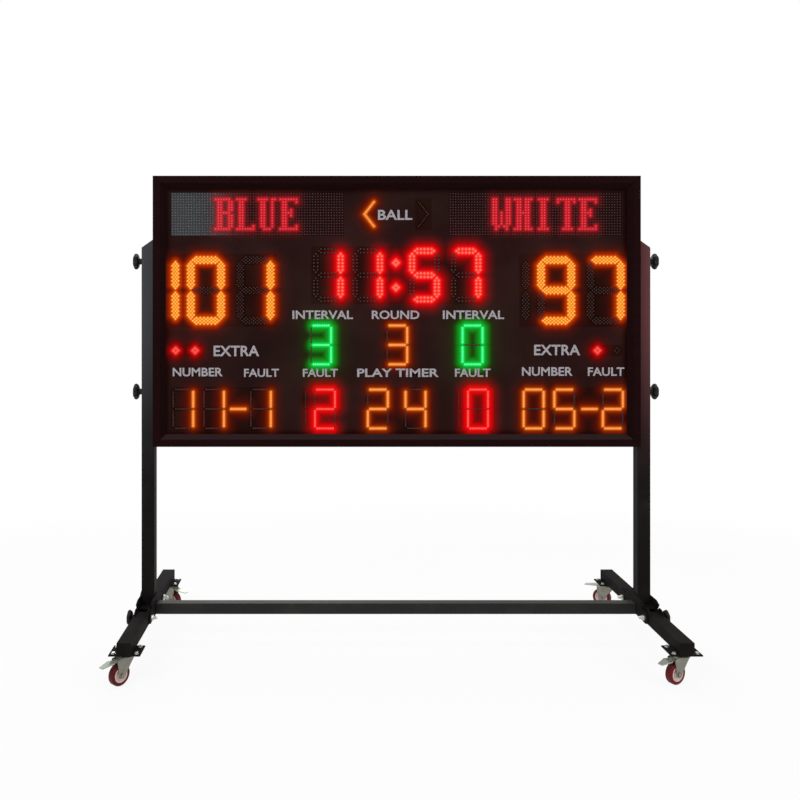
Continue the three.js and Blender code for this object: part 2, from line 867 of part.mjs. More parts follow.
function legBody() {
  const half = footHeight / 2;
  const tubeHalf = footSide / 2 - legSideGap;
  const boreHalf = half - footWall;
  const tubeOutline = [[legLength, -half], [legLength, half], ...arcPoints(half, 90, 270, 10)];
  const tube = prismAlongX(towardsFront(tubeOutline), -tubeHalf, tubeHalf);
  const pieces = [tube];
  for (const face of [-1, 1]) {
    const ends = [face * (tubeHalf - cheekThickness), face * tubeHalf].sort((a, b) => a - b);
    pieces.push(prismAlongX(towardsFront(legHornOutline()), ...ends));
  }
  pieces.push(boxSolid(
    around(0, seatPlate.width),
    [-legLength, -legLength + seatPlate.depth],
    [-half - seatPlate.thickness, -half],
  ));
  const bore = boxSolid(
    around(0, 2 * (tubeHalf - footWall)), [-legLength + legCap, half + overrun], around(0, 2 * boreHalf),
  );
  const hole = prismAlongX(circlePoints(boltRadius + boltClearance, roundSides), -footSide, footSide);
  return joined(pieces).subtract(bore).subtract(hole);
}

function foldingLeg(name, side, end) {
  const mesh = meshOf(name, legBody(), blackPowder());
  mesh.position.set(side * uprightX, end * pivotReach, pivotHeight);
  if (end > 0) mesh.rotation.z = Math.PI;
  return mesh;
}

// Head and neck of a lobed hand knob, standing on a seat across the X axis
function knobHead(sizes, seat) {
  const count = sizes.lobes * knobPointsPerLobe;
  const outline = [];
  for (let i = 0; i < count; i += 1) {
    const angle = (2 * Math.PI * i) / count;
    const dip = knobLobeShare * sizes.radius * knobLobeShares[i % knobPointsPerLobe];
    const radius = sizes.radius - dip;
    outline.push([radius * Math.cos(angle), radius * Math.sin(angle)]);
  }
  const headFrom = seat + sizes.neckLength;
  const headTo = headFrom + sizes.thickness;
  const shrunk = (sizes.radius - knobEdge) / sizes.radius;
  const face = outline.map(([u, v]) => [u * shrunk, v * shrunk]);
  const neck = prismAlongX(circlePoints(sizes.neckRadius, roundSides), seat, headFrom + overrun);
  const head = prismAlongX(outline, headFrom + knobEdge, headTo - knobEdge);
  const core = prismAlongX(face, headFrom, headTo);
  return [neck, head, core];
}

// Lock knob of a leg's pivot: knob outside, stud through the pivot, nut inside
function pivotKnob(name, side, end) {
  const seat = footSide / 2 + cheekThickness + fitGap;
  const nutEnd = -seat - lockNut.thickness;
  const stud = prismAlongX(
    circlePoints(boltRadius, roundSides), nutEnd - lockNut.studBeyond, seat + lockKnob.neckLength,
  );
  const nut = prismAlongX(circlePoints(lockNut.radius, 6), nutEnd, -seat);
  const mesh = meshOf(name, joined([stud, nut, ...knobHead(lockKnob, seat)]), blackPlastic());
  mesh.position.set(side * uprightX, end * pivotReach, pivotHeight);
  if (side < 0) mesh.rotation.z = Math.PI;
  return mesh;
}

// Clamp knob: the stud points inwards along -X, the head stands outside
function clampKnob(name, side, height) {
  const seat = uprightSide / 2 + fitGap;
  const stud = prismAlongX(circlePoints(studRadius, roundSides), -seat - studReach, seat + knob.neckLength);
  const mesh = meshOf(name, joined([stud, ...knobHead(knob, seat)]), blackPlastic());
  mesh.position.set(side * uprightX, 0, height);
  if (side < 0) mesh.rotation.z = Math.PI;
  return mesh;
}

// Caster, drawn with the wheel trailing towards +X and the swivel axis on Z
const raceBottom = seatBottom - fitGap - casterPlate.thickness - raceDepth;

function casterTopPlate() {
  const top = seatBottom - fitGap;
  const under = top - casterPlate.thickness;
  const plate = boxSolid(around(0, casterPlate.width), around(0, casterPlate.depth), [under, top]);
  const race = turned([
    [0, raceBottom],
    [raceRadius - raceTaper, raceBottom],
    [raceRadius, under],
    [raceRadius, top],
    [0, top],
  ], wheelSides);
  return plate.add(race);
}

function forkLegOutline() {
  const top = raceBottom - swivelGap;
  const pinZ = seatBottom - pedalPin.drop;
  const pinEdge = pedalPin.radius + forkLeg;
  return [
    [-forkBack, top],
    [-forkBack, top - forkTop],
    ...arcPoints(forkEye, 205, 345, 6).map(([x, z]) => [x + casterTrail, z + wheelRadius]),
    [pedalPin.reach + pinEdge, pinZ - pinEdge],
    [pedalPin.reach + pinEdge, Math.min(pinZ + pinEdge, top)],
    [pedalPin.reach - pinEdge, top],
  ];
}

function casterFork() {
  const top = raceBottom - swivelGap;
  const crown = prismAlongZ(circlePoints(forkRadius, wheelSides), top - forkTop, top);
  const pieces = [crown];
  const pinZ = seatBottom - pedalPin.drop;
  for (const face of [-1, 1]) {
    const ends = [(face * forkInner) / 2, face * (forkInner / 2 + forkLeg)].sort((a, b) => a - b);
    const leg = prismAlongY(forkLegOutline(), ...ends);
    const eye = circlePoints(pedalPin.radius + fitGap * 2, roundSides, pedalPin.reach, pinZ);
    pieces.push(leg.subtract(prismAlongY(eye, ends[0] - overrun, ends[1] + overrun)));
  }
  const axleHalf = forkInner / 2 + forkLeg + axleNut.thickness / 2;
  pieces.push(prismAlongY(circlePoints(axleRadius, roundSides, casterTrail, wheelRadius), -axleHalf, axleHalf));
  for (const face of [-1, 1]) {
    const ends = [face * (forkInner / 2), face * (forkInner / 2 + forkLeg + axleNut.thickness)];
    ends.sort((a, b) => a - b);
    pieces.push(prismAlongY(circlePoints(axleNut.radius, 6, casterTrail, wheelRadius), ...ends));
  }
  return joined(pieces);
}

// Turned about Z, then laid along Y with its middle at the axle
function wheelTurned(profile) {
  const closed = [...profile, profile[0]];
  return turned(closed, wheelSides).rotate([90, 0, 0]);
}

function casterTyre() {
  const half = treadWidth / 2;
  const seat = wheelRadius - treadDepth;
  return wheelTurned([
    [seat, -half],
    [wheelRadius - treadRound / 2, -half],
    [wheelRadius, -half + treadRound],
    [wheelRadius, half - treadRound],
    [wheelRadius - treadRound / 2, half],
    [seat, half],
  ]);
}

function casterHub() {
  const half = treadWidth / 2;
  const bossHalf = forkInner / 2 - fitGap;
  const rim = wheelRadius - treadDepth - fitGap;
  const bore = axleRadius + axleClearance;
  const web = half - hubRecess;
  return wheelTurned([
    [bore, -bossHalf],
    [hubBossRadius, -bossHalf],
    [hubBossRadius, -web],
    [rim - hubRing, -web],
    [rim - hubRing, -half],
    [rim, -half],
    [rim, half],
    [rim - hubRing, half],
    [rim - hubRing, web],
    [hubBossRadius, web],
    [hubBossRadius, bossHalf],
    [bore, bossHalf],
  ]);
}

function brakePedal() {
  const pinHalf = forkInner / 2 + forkLeg;
  const pin = prismAlongY(circlePoints(pedalPin.radius, roundSides), -pinHalf, pinHalf);
  const length = pedal.reach - pedalPin.reach;
  const step = length * pedalStepShare;
  const half = pedal.thickness / 2;
  const arm = prismAlongY([
    [-pedal.heel, -half],
    [step, -half],
    [length, -half - pedal.lift],
    [length, half - pedal.lift],
    [step, half],
    [-pedal.heel, half],
  ], -pedal.wide / 2, pedal.wide / 2);
  const plan = prismAlongZ([
    [-pedal.heel, -pedal.width / 2],
    [step / 2, -pedal.width / 2],
    [step, -pedal.wide / 2],
    [length, -pedal.tip / 2],
    [length, pedal.tip / 2],
    [step, pedal.wide / 2],
    [step / 2, pedal.width / 2],
    [-pedal.heel, pedal.width / 2],
  ], -pedal.reach, pedal.reach);
  return pin.add(arm.intersect(plan));
}

function caster(place, side, end) {
  const group = new THREE.Group();
  group.position.set(side * uprightX, end * swivelReach, 0);
  const plate = meshOf(`${place}_caster_plate`, casterTopPlate(), zinc());
  const swivel = new THREE.Group();
  swivel.rotation.z = THREE.MathUtils.degToRad(casterYaws[place]);
  const fork = meshOf(`${place}_caster_fork`, casterFork(), zinc());
  const tyre = meshOf(`${place}_wheel_tyre`, casterTyre(), treadRed());
  const hub = meshOf(`${place}_wheel_hub`, casterHub(), hubCream());
  const brake = meshOf(`${place}_brake_pedal`, brakePedal(), zinc());
  tyre.position.set(casterTrail, 0, wheelRadius);
  hub.position.set(casterTrail, 0, wheelRadius);
  brake.position.set(pedalPin.reach, 0, seatBottom - pedalPin.drop);
  swivel.add(fork, tyre, hub, brake);
  group.add(plate, swivel);
  return group;
}

// The whole scoreboard
const scoreboard = new THREE.Group();
const cabinet = new THREE.Group();
cabinet.add(frontFrame(), facePanel(), cabinetShell(), rearCover());
cabinet.add(...nameBoards.map(nameBoard), ...displayBoards.map(displayBoard));
cabinet.add(powerSupply('power_supply_left', -1), powerSupply('power_supply_right', 1));
cabinet.add(controllerBoard(), buzzerHorn(), powerInlet(), rockerSwitch());

const stand = new THREE.Group();
stand.add(crossbar());
for (const [sideName, side] of [['left', -1], ['right', 1]]) {
  stand.add(upright(`${sideName}_upright`, side), footCentre(`${sideName}_foot_centre`, side));
  stand.add(clampKnob(`${sideName}_upper_knob`, side, knobHeights[0]));
  stand.add(clampKnob(`${sideName}_lower_knob`, side, knobHeights[1]));
  for (const [endName, end] of [['front', -1], ['rear', 1]]) {
    const place = `${endName}_${sideName}`;
    stand.add(foldingLeg(`${place}_leg`, side, end), pivotKnob(`${place}_lock_knob`, side, end));
    stand.add(caster(place, side, end));
  }
}
scoreboard.add(cabinet, stand);

export default scoreboard;
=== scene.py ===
"""Looks of an electronic scoreboard that is clamped in a folding stand on casters."""

from __future__ import annotations

import logging
import math
from collections.abc import Callable, Iterable, Iterator, Sequence
from contextlib import contextmanager
from dataclasses import dataclass, field
from enum import Enum

import bpy
import numpy as np
from mathutils import Matrix, Vector, kdtree


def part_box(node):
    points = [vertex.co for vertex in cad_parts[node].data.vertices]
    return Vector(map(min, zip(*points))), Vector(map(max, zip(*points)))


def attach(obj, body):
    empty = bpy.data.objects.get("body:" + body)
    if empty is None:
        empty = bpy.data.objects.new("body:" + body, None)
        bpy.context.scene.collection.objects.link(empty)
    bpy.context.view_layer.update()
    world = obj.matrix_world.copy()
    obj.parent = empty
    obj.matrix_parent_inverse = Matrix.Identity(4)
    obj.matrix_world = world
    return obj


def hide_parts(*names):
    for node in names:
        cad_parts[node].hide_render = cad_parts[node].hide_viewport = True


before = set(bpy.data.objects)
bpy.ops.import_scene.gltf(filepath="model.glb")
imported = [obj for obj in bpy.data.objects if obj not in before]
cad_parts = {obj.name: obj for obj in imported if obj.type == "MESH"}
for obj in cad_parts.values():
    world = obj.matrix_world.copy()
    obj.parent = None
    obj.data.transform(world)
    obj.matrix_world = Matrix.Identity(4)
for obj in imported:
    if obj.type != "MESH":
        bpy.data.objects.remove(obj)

log = logging.getLogger("scoreboard")

MM = 0.001
QUARTER = math.pi / 2
MERGE = 0.01 * MM
SHARP = math.radians(35)
Colour = tuple[float, float, float]
Place = tuple[float, float]
ROOT = "stand_and_cabinet"
SIDES = ("left", "right")
CORNERS = ("front_left", "front_right", "rear_left", "rear_right")


def painted(red: int, green: int, blue: int) -> Colour:
    """Turns screen values from 0 to 255 into the linear colour that a shader takes."""
    return tuple(((v / 255 + 0.055) / 1.055) ** 2.4 if v > 10 else v / 3294.6 for v in (red, green, blue))


class Wire:
    """A shader socket that adds Math nodes when it stands in an expression."""

    def __init__(self, nodes: Nodes, socket: bpy.types.NodeSocket) -> None:
        """Keeps the socket and the tree that it belongs to."""
        self.nodes = nodes
        self.socket = socket

    def math(self, operation: str, *values: Wire | float) -> Wire:
        """Adds one Math node with the given operation."""
        return self.nodes.node("Math", dict(enumerate(values)), operation=operation)

    def __add__(self, other: Wire | float) -> Wire:
        """Sum."""
        return self.math("ADD", self, other)

    def __sub__(self, other: Wire | float) -> Wire:
        """Difference."""
        return self.math("SUBTRACT", self, other)

    def __rsub__(self, other: float) -> Wire:
        """Difference from a number."""
        return self.math("SUBTRACT", other, self)

    def __mul__(self, other: Wire | float) -> Wire:
        """Product."""
        return self.math("MULTIPLY", self, other)

    def size(self) -> Wire:
        """Value without its sign."""
        return self.math("ABSOLUTE", self)

    def below(self, edge: Wire | float) -> Wire:
        """1 where the value is below the edge."""
        return self.math("LESS_THAN", self, edge)

    def wave(self, step: float) -> Wire:
        """Distance from the nearest multiple of a step, in metres."""
        return self.math("PINGPONG", self, step / 2)

    def fade(self, low: float, high: float) -> Wire:
        """Smooth step from 0 at low to 1 at high."""
        return self.nodes.node("MapRange", {0: self, 1: low, 2: high}, interpolation_type="SMOOTHSTEP")


class Nodes:
    """A node tree that is filled from expressions."""

    def __init__(self, tree: bpy.types.NodeTree) -> None:
        """Keeps the tree."""
        self.tree = tree

    def node(self, kind: str, inputs: dict, output: int | str = 0, **settings: object) -> Wire:
        """Adds one node.

        Args:
            kind: Type of the node.
            inputs: Values or links of its sockets, by name or number.
            output: Name or number of the socket that is given back.
            settings: Its properties, set before its sockets.

        Returns:
            The chosen output.
        """
        made = self.tree.nodes.new(f"ShaderNode{kind}")
        for key, value in settings.items():
            setattr(made, key, value)
        for key, value in inputs.items():
            self.plug(made.inputs[key], value)
        return Wire(self, made.outputs[output])

    def plug(self, socket: bpy.types.NodeSocket, value: Wire | float | Sequence[float]) -> None:
        """Links a wire to a socket, or writes a plain value on it.

        Args:
            socket: The socket.
            value: A wire, a number, a colour or a vector.
        """
        if isinstance(value, Wire):
            self.tree.links.new(value.socket, socket)
        elif socket.type == "RGBA":
            socket.default_value = (*value, 1)
        else:
            socket.default_value = value

    def shown(self) -> Wire:
        """1 for what the camera sees, also in a reflection or through glass.

        Returns:
            The share, 0 or 1.
        """
        rays = [self.node("LightPath", {}, f"Is {kind} Ray") for kind in ("Camera", "Glossy", "Transmission")]
        near = rays[0].math("MAXIMUM", rays[0], rays[1])
        return near.math("MAXIMUM", near, rays[2])


class Shader(Nodes):
    """One procedural material on a Principled BSDF, patterned on Object coordinates."""

    def __init__(self, name: str, **constants: float) -> None:
        """Starts the material.

        Args:
            name: Name of the material.
            constants: Values of Principled sockets, with underscores for spaces.
        """
        self.material = bpy.data.materials.new(name)
        self.material.use_nodes = True
        super().__init__(self.material.node_tree)
        self.bsdf = self.tree.nodes["Principled BSDF"]
        for key, value in constants.items():
            self.feed(key.replace("_", " "), value)
        self.place = self.node("TexCoord", {}, "Object")

    def feed(self, name: str, value: Wire | float | Sequence[float]) -> None:
        """Feeds a socket of the Principled BSDF."""
        self.plug(self.bsdf.inputs[name], value)

    def noise(self, scale: float, detail: float, stretch: Colour | None = None) -> Wire:
        """Noise from 0 to 1.

        Args:
            scale: Grains to a metre.
            detail: Levels of finer noise.
            stretch: Factors on the coordinates.

        Returns:
            The noise.
        """
        place = self.place
        if stretch:
            place = self.node("Mapping", {"Vector": place, "Scale": stretch})
        return self.node("TexNoise", {"Vector": place, "Scale": scale, "Detail": detail})

    def cells(self, scale: float) -> Wire:
        """Distance from the middle of the nearest Voronoi cell, at so many cells a metre."""
        return self.node("TexVoronoi", {"Vector": self.place, "Scale": scale})

    def axes(self) -> tuple[Wire, Wire, Wire]:
        """The three Object coordinates."""
        split = self.node("SeparateXYZ", {0: self.place})
        return tuple(Wire(self, socket) for socket in split.socket.node.outputs)

    def mix(self, share: Wire, low: Wire | Colour, high: Wire | Colour) -> Wire:
        """Mixes two colours."""
        return self.node("Mix", {0: share, 6: low, 7: high}, 2, data_type="RGBA")

    def surface(self, colour: Wire, roughness: Wire, height: Wire, strength: float, depth: float) -> Shader:
        """Feeds the BSDF.

        Args:
            colour: Base colour.
            roughness: Roughness.
            height: Relief from 0 to 1.
            strength: Strength of the relief.
            depth: Its depth in metres.

        Returns:
            The shader itself.
        """
        self.feed("Base Color", colour)
        self.feed("Roughness", roughness)
        self.feed("Normal", self.node("Bump", {"Height": height, "Strength": strength, "Distance": depth}))
        return self


class Finish:
    """A finish that makes its material once and puts it on pieces."""

    _made: dict[str, bpy.types.Material] = {}

    def shader(self) -> Shader:
        """Builds the material's nodes."""
        raise NotImplementedError

    def material(self) -> bpy.types.Material:
        """The material, made at its first use.

        Returns:
            The material.
        """
        key = repr(self)
        if key not in Finish._made:
            Finish._made[key] = self.shader().material
        return Finish._made[key]

    def dress(self, obj: bpy.types.Object) -> None:
        """Adds the material to an object's slots."""
        obj.data.materials.append(self.material())


@dataclass(frozen=True)
class PowderCoat(Finish):
    """Baked powder paint with a fine orange-peel surface, and lighter where it is dusty.

    Attributes:
        peel: Grains to a metre.
        gloss: Specular level.
    """

    name: str
    colour: Colour
    dusty: Colour
    roughness: float
    peel: float = 900
    gloss: float = 0.05

    def shader(self) -> Shader:
        """Paint that is mottled softly, with fine grain in its normal.

        Returns:
            The finished shader.
        """
        made = Shader(self.name, Specular_IOR_Level=self.gloss)
        cloud = made.noise(7, 4)
        grain = made.noise(self.peel, 1)
        roughness = cloud * 0.16 + grain * 0.06 + (self.roughness - 0.1)
        return made.surface(self.paint(made, cloud), roughness, grain, 0.16, 0.3 * MM)

    def paint(self, made: Shader, cloud: Wire) -> Wire:
        """Colour of the paint under its film of dust."""
        return made.mix(cloud.fade(0.45, 0.75), self.colour, self.dusty)


@dataclass(frozen=True)
class UprightCoat(PowderCoat):
    """Paint of an upright, paler towards the top by painted light.

    Attributes:
        painted_light_top: Painted light at the upper end.
        front: Painted light at the upper end of the front face; on the right upright a painted reddish
            reflection of the display.
        front_face: Place of the front face along the depth.
        bottom: Height where the painted light starts.
        top: Height where it is complete.
    """

    painted_light_top: Colour = painted(66, 67, 70)
    front: Colour = painted(66, 67, 70)
    front_face: float = -23 * MM
    bottom: float = 0.55
    top: float = 1.3

    def paint(self, made: Shader, cloud: Wire) -> Wire:
        """Paint that turns paler upwards by painted light.

        Args:
            made: The shader that takes the nodes.
            cloud: Slow noise from 0 to 1.

        Returns:
            The paint's colour.
        """
        _, deep, up = made.axes()
        # Painted light: paler towards the top, and on the front face a painted reflection, reddish on the
        # right upright
        end = made.mix(deep.below(self.front_face), self.painted_light_top, self.front)
        return made.mix(up.fade(self.bottom, self.top), super().paint(made, cloud), end)


@dataclass(frozen=True)
class FrameCoat(Finish):
    """Satin black profile with mitred corners, with a painted highlight on its lower bevel.

    Attributes:
        middle: Height of the panel's middle.
        border: Width of the profile seen from the front.
        bevel: Where the lower bevel's painted highlight starts and where it is full, from the outer edge.
        seam: Half width of a mitre's groove, at its bottom and at its top.
    """

    middle: float
    half_width: float
    half_height: float
    border: float
    bevel: Place = (25 * MM, 29 * MM)
    seam: Place = (0.3 * MM, 1.1 * MM)

    def shader(self) -> Shader:
        """Dark paint with fine draw lines, a groove at each mitre and a painted highlight on the lower bevel.

        Returns:
            The finished shader.
        """
        made = Shader("frame_coat", Specular_IOR_Level=0.01)
        across, _, up = made.axes()
        sideways = self.half_width - across.size()
        upwards = self.half_height - (up - self.middle).size()
        seam = (sideways - upwards).size().fade(*self.seam)
        near = sideways.below(self.border) * upwards.below(self.border)
        groove = 1 - (1 - seam) * near
        draw = made.noise(60, 3, (0.15, 1, 1))
        grain = made.noise(700, 1)
        black = made.mix(draw, painted(22, 8, 9), painted(32, 13, 14))
        # Painted highlight: the lower bevel, which faces up, is painted paler
        bevel = upwards.fade(*self.bevel) * (up - self.middle).below(0) * upwards.below(sideways)
        black = made.mix(bevel, black, painted(46, 31, 33))
        colour = made.mix(groove, painted(3, 2, 2), black)
        return made.surface(colour, draw * 0.16 + 0.24, groove + grain * 0.12, 0.3, 0.5 * MM)


@dataclass(frozen=True)
class FaceSheet(Finish):
    """Matt sheet whose glow attribute holds the painted glow of the lamps as emission, and in its alpha the
    share of the dark field.

    Attributes:
        low: Darkest colour of the sheet.
        high: Lightest colour of the sheet.
        deep: Colour of the dark field: painted shade inside the frame's rim and round lit lamps, and a darker
            face round unlit lamps.
    """

    name: str = "face_sheet"
    low: Colour = painted(33, 20, 19)
    high: Colour = painted(41, 26, 24)
    deep: Colour = painted(16, 4, 2)

    def shader(self) -> Shader:
        """Mottled dark sheet with fine grain and the lamps' glow.

        Returns:
            The finished shader.
        """
        made = Shader(self.name, Specular_IOR_Level=0.0, Emission_Strength=1.0)
        cloud = made.noise(5, 3)
        grain = made.noise(1400, 1)
        glow = made.node("Attribute", {}, "Color", attribute_name="glow")
        kept = Wire(made, glow.socket.node.outputs["Alpha"])
        made.feed("Emission Color", glow)
        # Painted shade: the glow's alpha mixes in the deep colour at the frame's rim and round lit lamps;
        # round unlit lamps it is only darker
        colour = made.mix(kept, self.deep, self.sheet(made, cloud))
        return made.surface(colour, cloud * 0.15 + grain * 0.08 + 0.42, grain, 0.12, 0.2 * MM)

    def sheet(self, made: Shader, cloud: Wire) -> Wire:
        """Colour of the sheet away from the lamps."""
        return made.mix(cloud.fade(0.35, 0.7), self.low, self.high)


@dataclass(frozen=True)
class MatrixSheet(FaceSheet):
    """Sheet of a name matrix, grey where left starts and brown from right on."""

    name: str = "matrix_sheet"
    low: Colour = painted(33, 16, 16)
    grey: Colour = painted(60, 62, 64)
    left: float = 0.0
    right: float = 1.0

    def sheet(self, made: Shader, cloud: Wire) -> Wire:
        """Colour that changes slowly from the grey end to brown."""
        share = (made.axes()[0] + cloud * 0.1 - 0.05).fade(self.left, self.right)
        return made.mix(share, self.grey, self.low)


@dataclass(frozen=True)
class LampDome(Finish):
    """Clear lens of a lamp, whose colour varies from lamp to lamp between two.

    Attributes:
        lit: Whether the lamp is on.
    """

    name: str
    colour: Colour
    tint: Colour
    lit: bool = True

    def shader(self) -> Shader:
        """Lens that varies a little from lamp to lamp.

        Returns:
            The finished shader.
        """
        made = Shader(self.name, Specular_IOR_Level=0.3)
        share = made.noise(140, 1).fade(0.3, 0.7)
        shade = self.shade(made, share)
        if self.lit:
            made.feed("Base Color", tuple(0.25 * v for v in self.colour))
            made.feed("Emission Color", shade)
            made.feed("Emission Strength", 1.0)
        else:
            made.feed("Base Color", shade)
        made.feed("Roughness", share * 0.15 + 0.25)
        return made

    def shade(self, made: Shader, share: Wire) -> Wire:
        """Colour of a lamp, between the two colours."""
        return made.mix(share, self.colour, self.tint)


@dataclass(frozen=True)
class NameDome(LampDome):
    """Unlit lens of a name matrix, grey where left starts and brown from right on."""

    lit: bool = False
    brown: Colour = painted(76, 50, 51)
    left: float = -0.74
    right: float = -0.54

    def shade(self, made: Shader, share: Wire) -> Wire:
        """Grey that turns brown to the right."""
        fade = made.axes()[0].fade(self.left, self.right)
        return made.mix(fade, super().shade(made, share), self.brown)


@dataclass(frozen=True)
class ZincPlate(Finish):
    """Zinc-plated pressed steel with a faint yellow-green cast."""

    name: str = "zinc_plate"
    low: Colour = painted(128, 134, 122)
    high: Colour = painted(186, 190, 178)
    roughness: float = 0.34

    def shader(self) -> Shader:
        """Metal with clouded plating, small spangles and fine scratches.

        Returns:
            The finished shader.
        """
        made = Shader(self.name, Metallic=0.85)
        cloud = made.noise(55, 4)
        spangle = made.cells(420)
        scratch = made.noise(320, 2, (1, 0.12, 1))
        colour = made.mix(cloud * 0.7 + spangle * 0.3, self.low, self.high)
        roughness = cloud * 0.2 + scratch * 0.12 + (self.roughness - 0.14)
        return made.surface(colour, roughness, scratch * 0.5 + spangle * 0.3, 0.12, 0.2 * MM)


@dataclass(frozen=True)
class Moulded(Finish):
    """Moulded plastic or rubber.

    Attributes:
        grain: Grains to a metre.
        relief: Strength of the grain.
        gloss: Specular level.
    """

    name: str
    low: Colour
    high: Colour
    roughness: float
    grain: float = 1300
    relief: float = 0.2
    gloss: float = 0.15

    def shader(self) -> Shader:
        """Even colour with slow mottling and sparkle-fine grain.

        Returns:
            The finished shader.
        """
        made = Shader(self.name, Specular_IOR_Level=self.gloss)
        cloud = made.noise(34, 4)
        grain = made.noise(self.grain, 2)
        colour = made.mix(cloud.fade(0.3, 0.72), self.low, self.high)
        roughness = cloud * 0.2 + grain * 0.08 + (self.roughness - 0.14)
        return made.surface(colour, roughness, grain, self.relief, 0.25 * MM)


@dataclass(frozen=True)
class VentedSheet(Finish):
    """Bare folded sheet of a power supply, punched with rows of vents."""

    pitch: float = 7 * MM
    hole: float = 2.1 * MM

    def shader(self) -> Shader:
        """Brushed metal with dark round holes on a square grid.

        Returns:
            The finished shader.
        """
        made = Shader("vented_sheet", Metallic=0.8)
        across, _, up = made.axes()
        wide, high = across.wave(self.pitch), up.wave(self.pitch)
        hole = (wide * wide + high * high).below(self.hole**2)
        brush = made.noise(420, 3, (0.06, 1, 1))
        metal = made.mix(brush, painted(146, 149, 151), painted(196, 198, 199))
        colour = made.mix(hole, metal, painted(12, 12, 12))
        return made.surface(colour, brush * 0.2 + hole * 0.4 + 0.25, 1 - hole, 0.4, 0.6 * MM)


@dataclass(frozen=True)
class CircuitBoard(Finish):
    """Green solder mask over copper tracks, with tinned pads."""

    track: float = 5 * MM
    track_half: float = 0.6 * MM
    pad: float = 1.3 * MM

    def shader(self) -> Shader:
        """Wavering tracks, with pads on a grid between them.

        Returns:
            The finished shader.
        """
        made = Shader("circuit_board", Specular_IOR_Level=0.5, Coat_Weight=0.3)
        across, _, up = made.axes()
        lane = (across + made.noise(30, 0) * 0.02).wave(self.track)
        wide, high = across.wave(2 * self.track), up.wave(3 * self.track)
        copper = lane.below(self.track_half)
        pad = (wide * wide + high * high).below(self.pad**2)
        mask = made.mix(copper, painted(17, 66, 38), painted(32, 96, 56))
        made.feed("Metallic", pad * 0.8)
        colour = made.mix(pad, mask, painted(186, 186, 180))
        return made.surface(colour, made.noise(80, 2) * 0.2 + 0.25, copper + pad, 0.25, 0.2 * MM)


@dataclass(frozen=True)
class PrintedPaint(Finish):
    """Screen-printed pale lettering, slightly uneven and worn."""

    def shader(self) -> Shader:
        """Pale ink that thins out in places.

        Returns:
            The finished shader.
        """
        made = Shader("printed_paint", Specular_IOR_Level=0.25)
        ink = made.noise(160, 4)
        colour = made.mix(ink.fade(0.3, 0.66), painted(136, 132, 137), painted(168, 163, 168))
        return made.surface(colour, ink * 0.2 + 0.45, ink, 0.1, 0.1 * MM)


BLACK_PAINT = (painted(24, 21, 21), painted(35, 32, 31))
STAND_COAT = PowderCoat("stand_coat", *BLACK_PAINT, 0.55, gloss=0.01)
# Paler than the stand's paint: painted light for the light that the crossbar's top catches
CROSSBAR_LIT_COAT = PowderCoat("crossbar_lit_coat", painted(37, 36, 35), painted(48, 47, 45), 0.5, gloss=0.1)
UPRIGHT_COATS = {
    "left": UprightCoat("left_upright_coat", *BLACK_PAINT, 0.5, gloss=0.02),
    # The right upright's front takes a painted reddish reflection of the display's glow
    "right": UprightCoat("right_upright_coat", *BLACK_PAINT, 0.5, gloss=0.02, front=painted(98, 60, 62)),
}
SHEET_COAT = PowderCoat("sheet_coat", painted(20, 18, 20), painted(30, 28, 30), 0.48, 700, 0.15)
BLACK_PLASTIC = Moulded("black_plastic", painted(16, 16, 17), painted(27, 26, 27), 0.46)
RED_PLASTIC = Moulded("red_plastic", painted(150, 22, 20), painted(172, 34, 30), 0.38, gloss=0.4)
TREAD = Moulded("tread", painted(78, 14, 18), painted(104, 26, 28), 0.5, 900, 0.3)
HUB = Moulded("hub_plastic", painted(214, 186, 178), painted(230, 208, 202), 0.5, 1100, 0.15)
ZINC = ZincPlate()
FORK_ZINC = ZincPlate("fork_zinc", painted(98, 98, 89), painted(148, 145, 134))
BRIGHT_ZINC = ZincPlate("bright_zinc", painted(150, 153, 150), painted(212, 214, 210), 0.28)


def select(*objects: bpy.types.Object) -> None:
    """Selects only the given objects, and makes the first of them active.

    Args:
        objects: What is selected, with the active one first.
    """
    bpy.ops.object.select_all(action="DESELECT")
    for obj in objects:
        obj.select_set(True)
    if objects:
        bpy.context.view_layer.objects.active = objects[0]


@contextmanager
def editing(obj: bpy.types.Object) -> Iterator[None]:
    """Opens one object in edit mode, and closes it again.

    Args:
        obj: The object.

    Returns:
        A context in which the object is open.
    """
    select(obj)
    bpy.ops.object.mode_set(mode="EDIT")
    yield
    bpy.ops.object.mode_set(mode="OBJECT")


def pick(obj: bpy.types.Object, test: Callable[[bpy.types.MeshPolygon], bool]) -> None:
    """Selects only the faces that pass a test, for the next edit.

    Args:
        obj: The object.
        test: Says whether a face is taken.
    """
    mesh = obj.data
    mesh.vertices.foreach_set("select", [False] * len(mesh.vertices))
    mesh.edges.foreach_set("select", [False] * len(mesh.edges))
    mesh.polygons.foreach_set("select", [test(face) for face in mesh.polygons])


def named(obj: bpy.types.Object, name: str) -> bpy.types.Object:
    """Names an object and its data.

    Args:
        obj: The object.
        name: Its new name.

    Returns:
        The same object.
    """
    obj.name = name
    obj.data.name = name
    return obj


def linked(name: str, data: bpy.types.ID) -> bpy.types.Object:
    """Makes an object in the scene from its data.

    Args:
        name: Name of the object.
        data: Its mesh, light or camera.

    Returns:
        The object.
    """
    obj = bpy.data.objects.new(name, data)
    bpy.context.scene.collection.objects.link(obj)
    return obj


def added(name: str, scale: Sequence[float] = (1, 1, 1)) -> bpy.types.Object:
    """Names the object that an operator has just made, and moves its place into its mesh.

    Args:
        name: Name of the object.
        scale: Its size along its own axes.

    Returns:
        The object, at the origin.
    """
    obj = named(bpy.context.object, name)
    obj.scale = scale
    obj.data.transform(obj.matrix_basis)
    obj.matrix_basis = Matrix.Identity(4)
    return obj


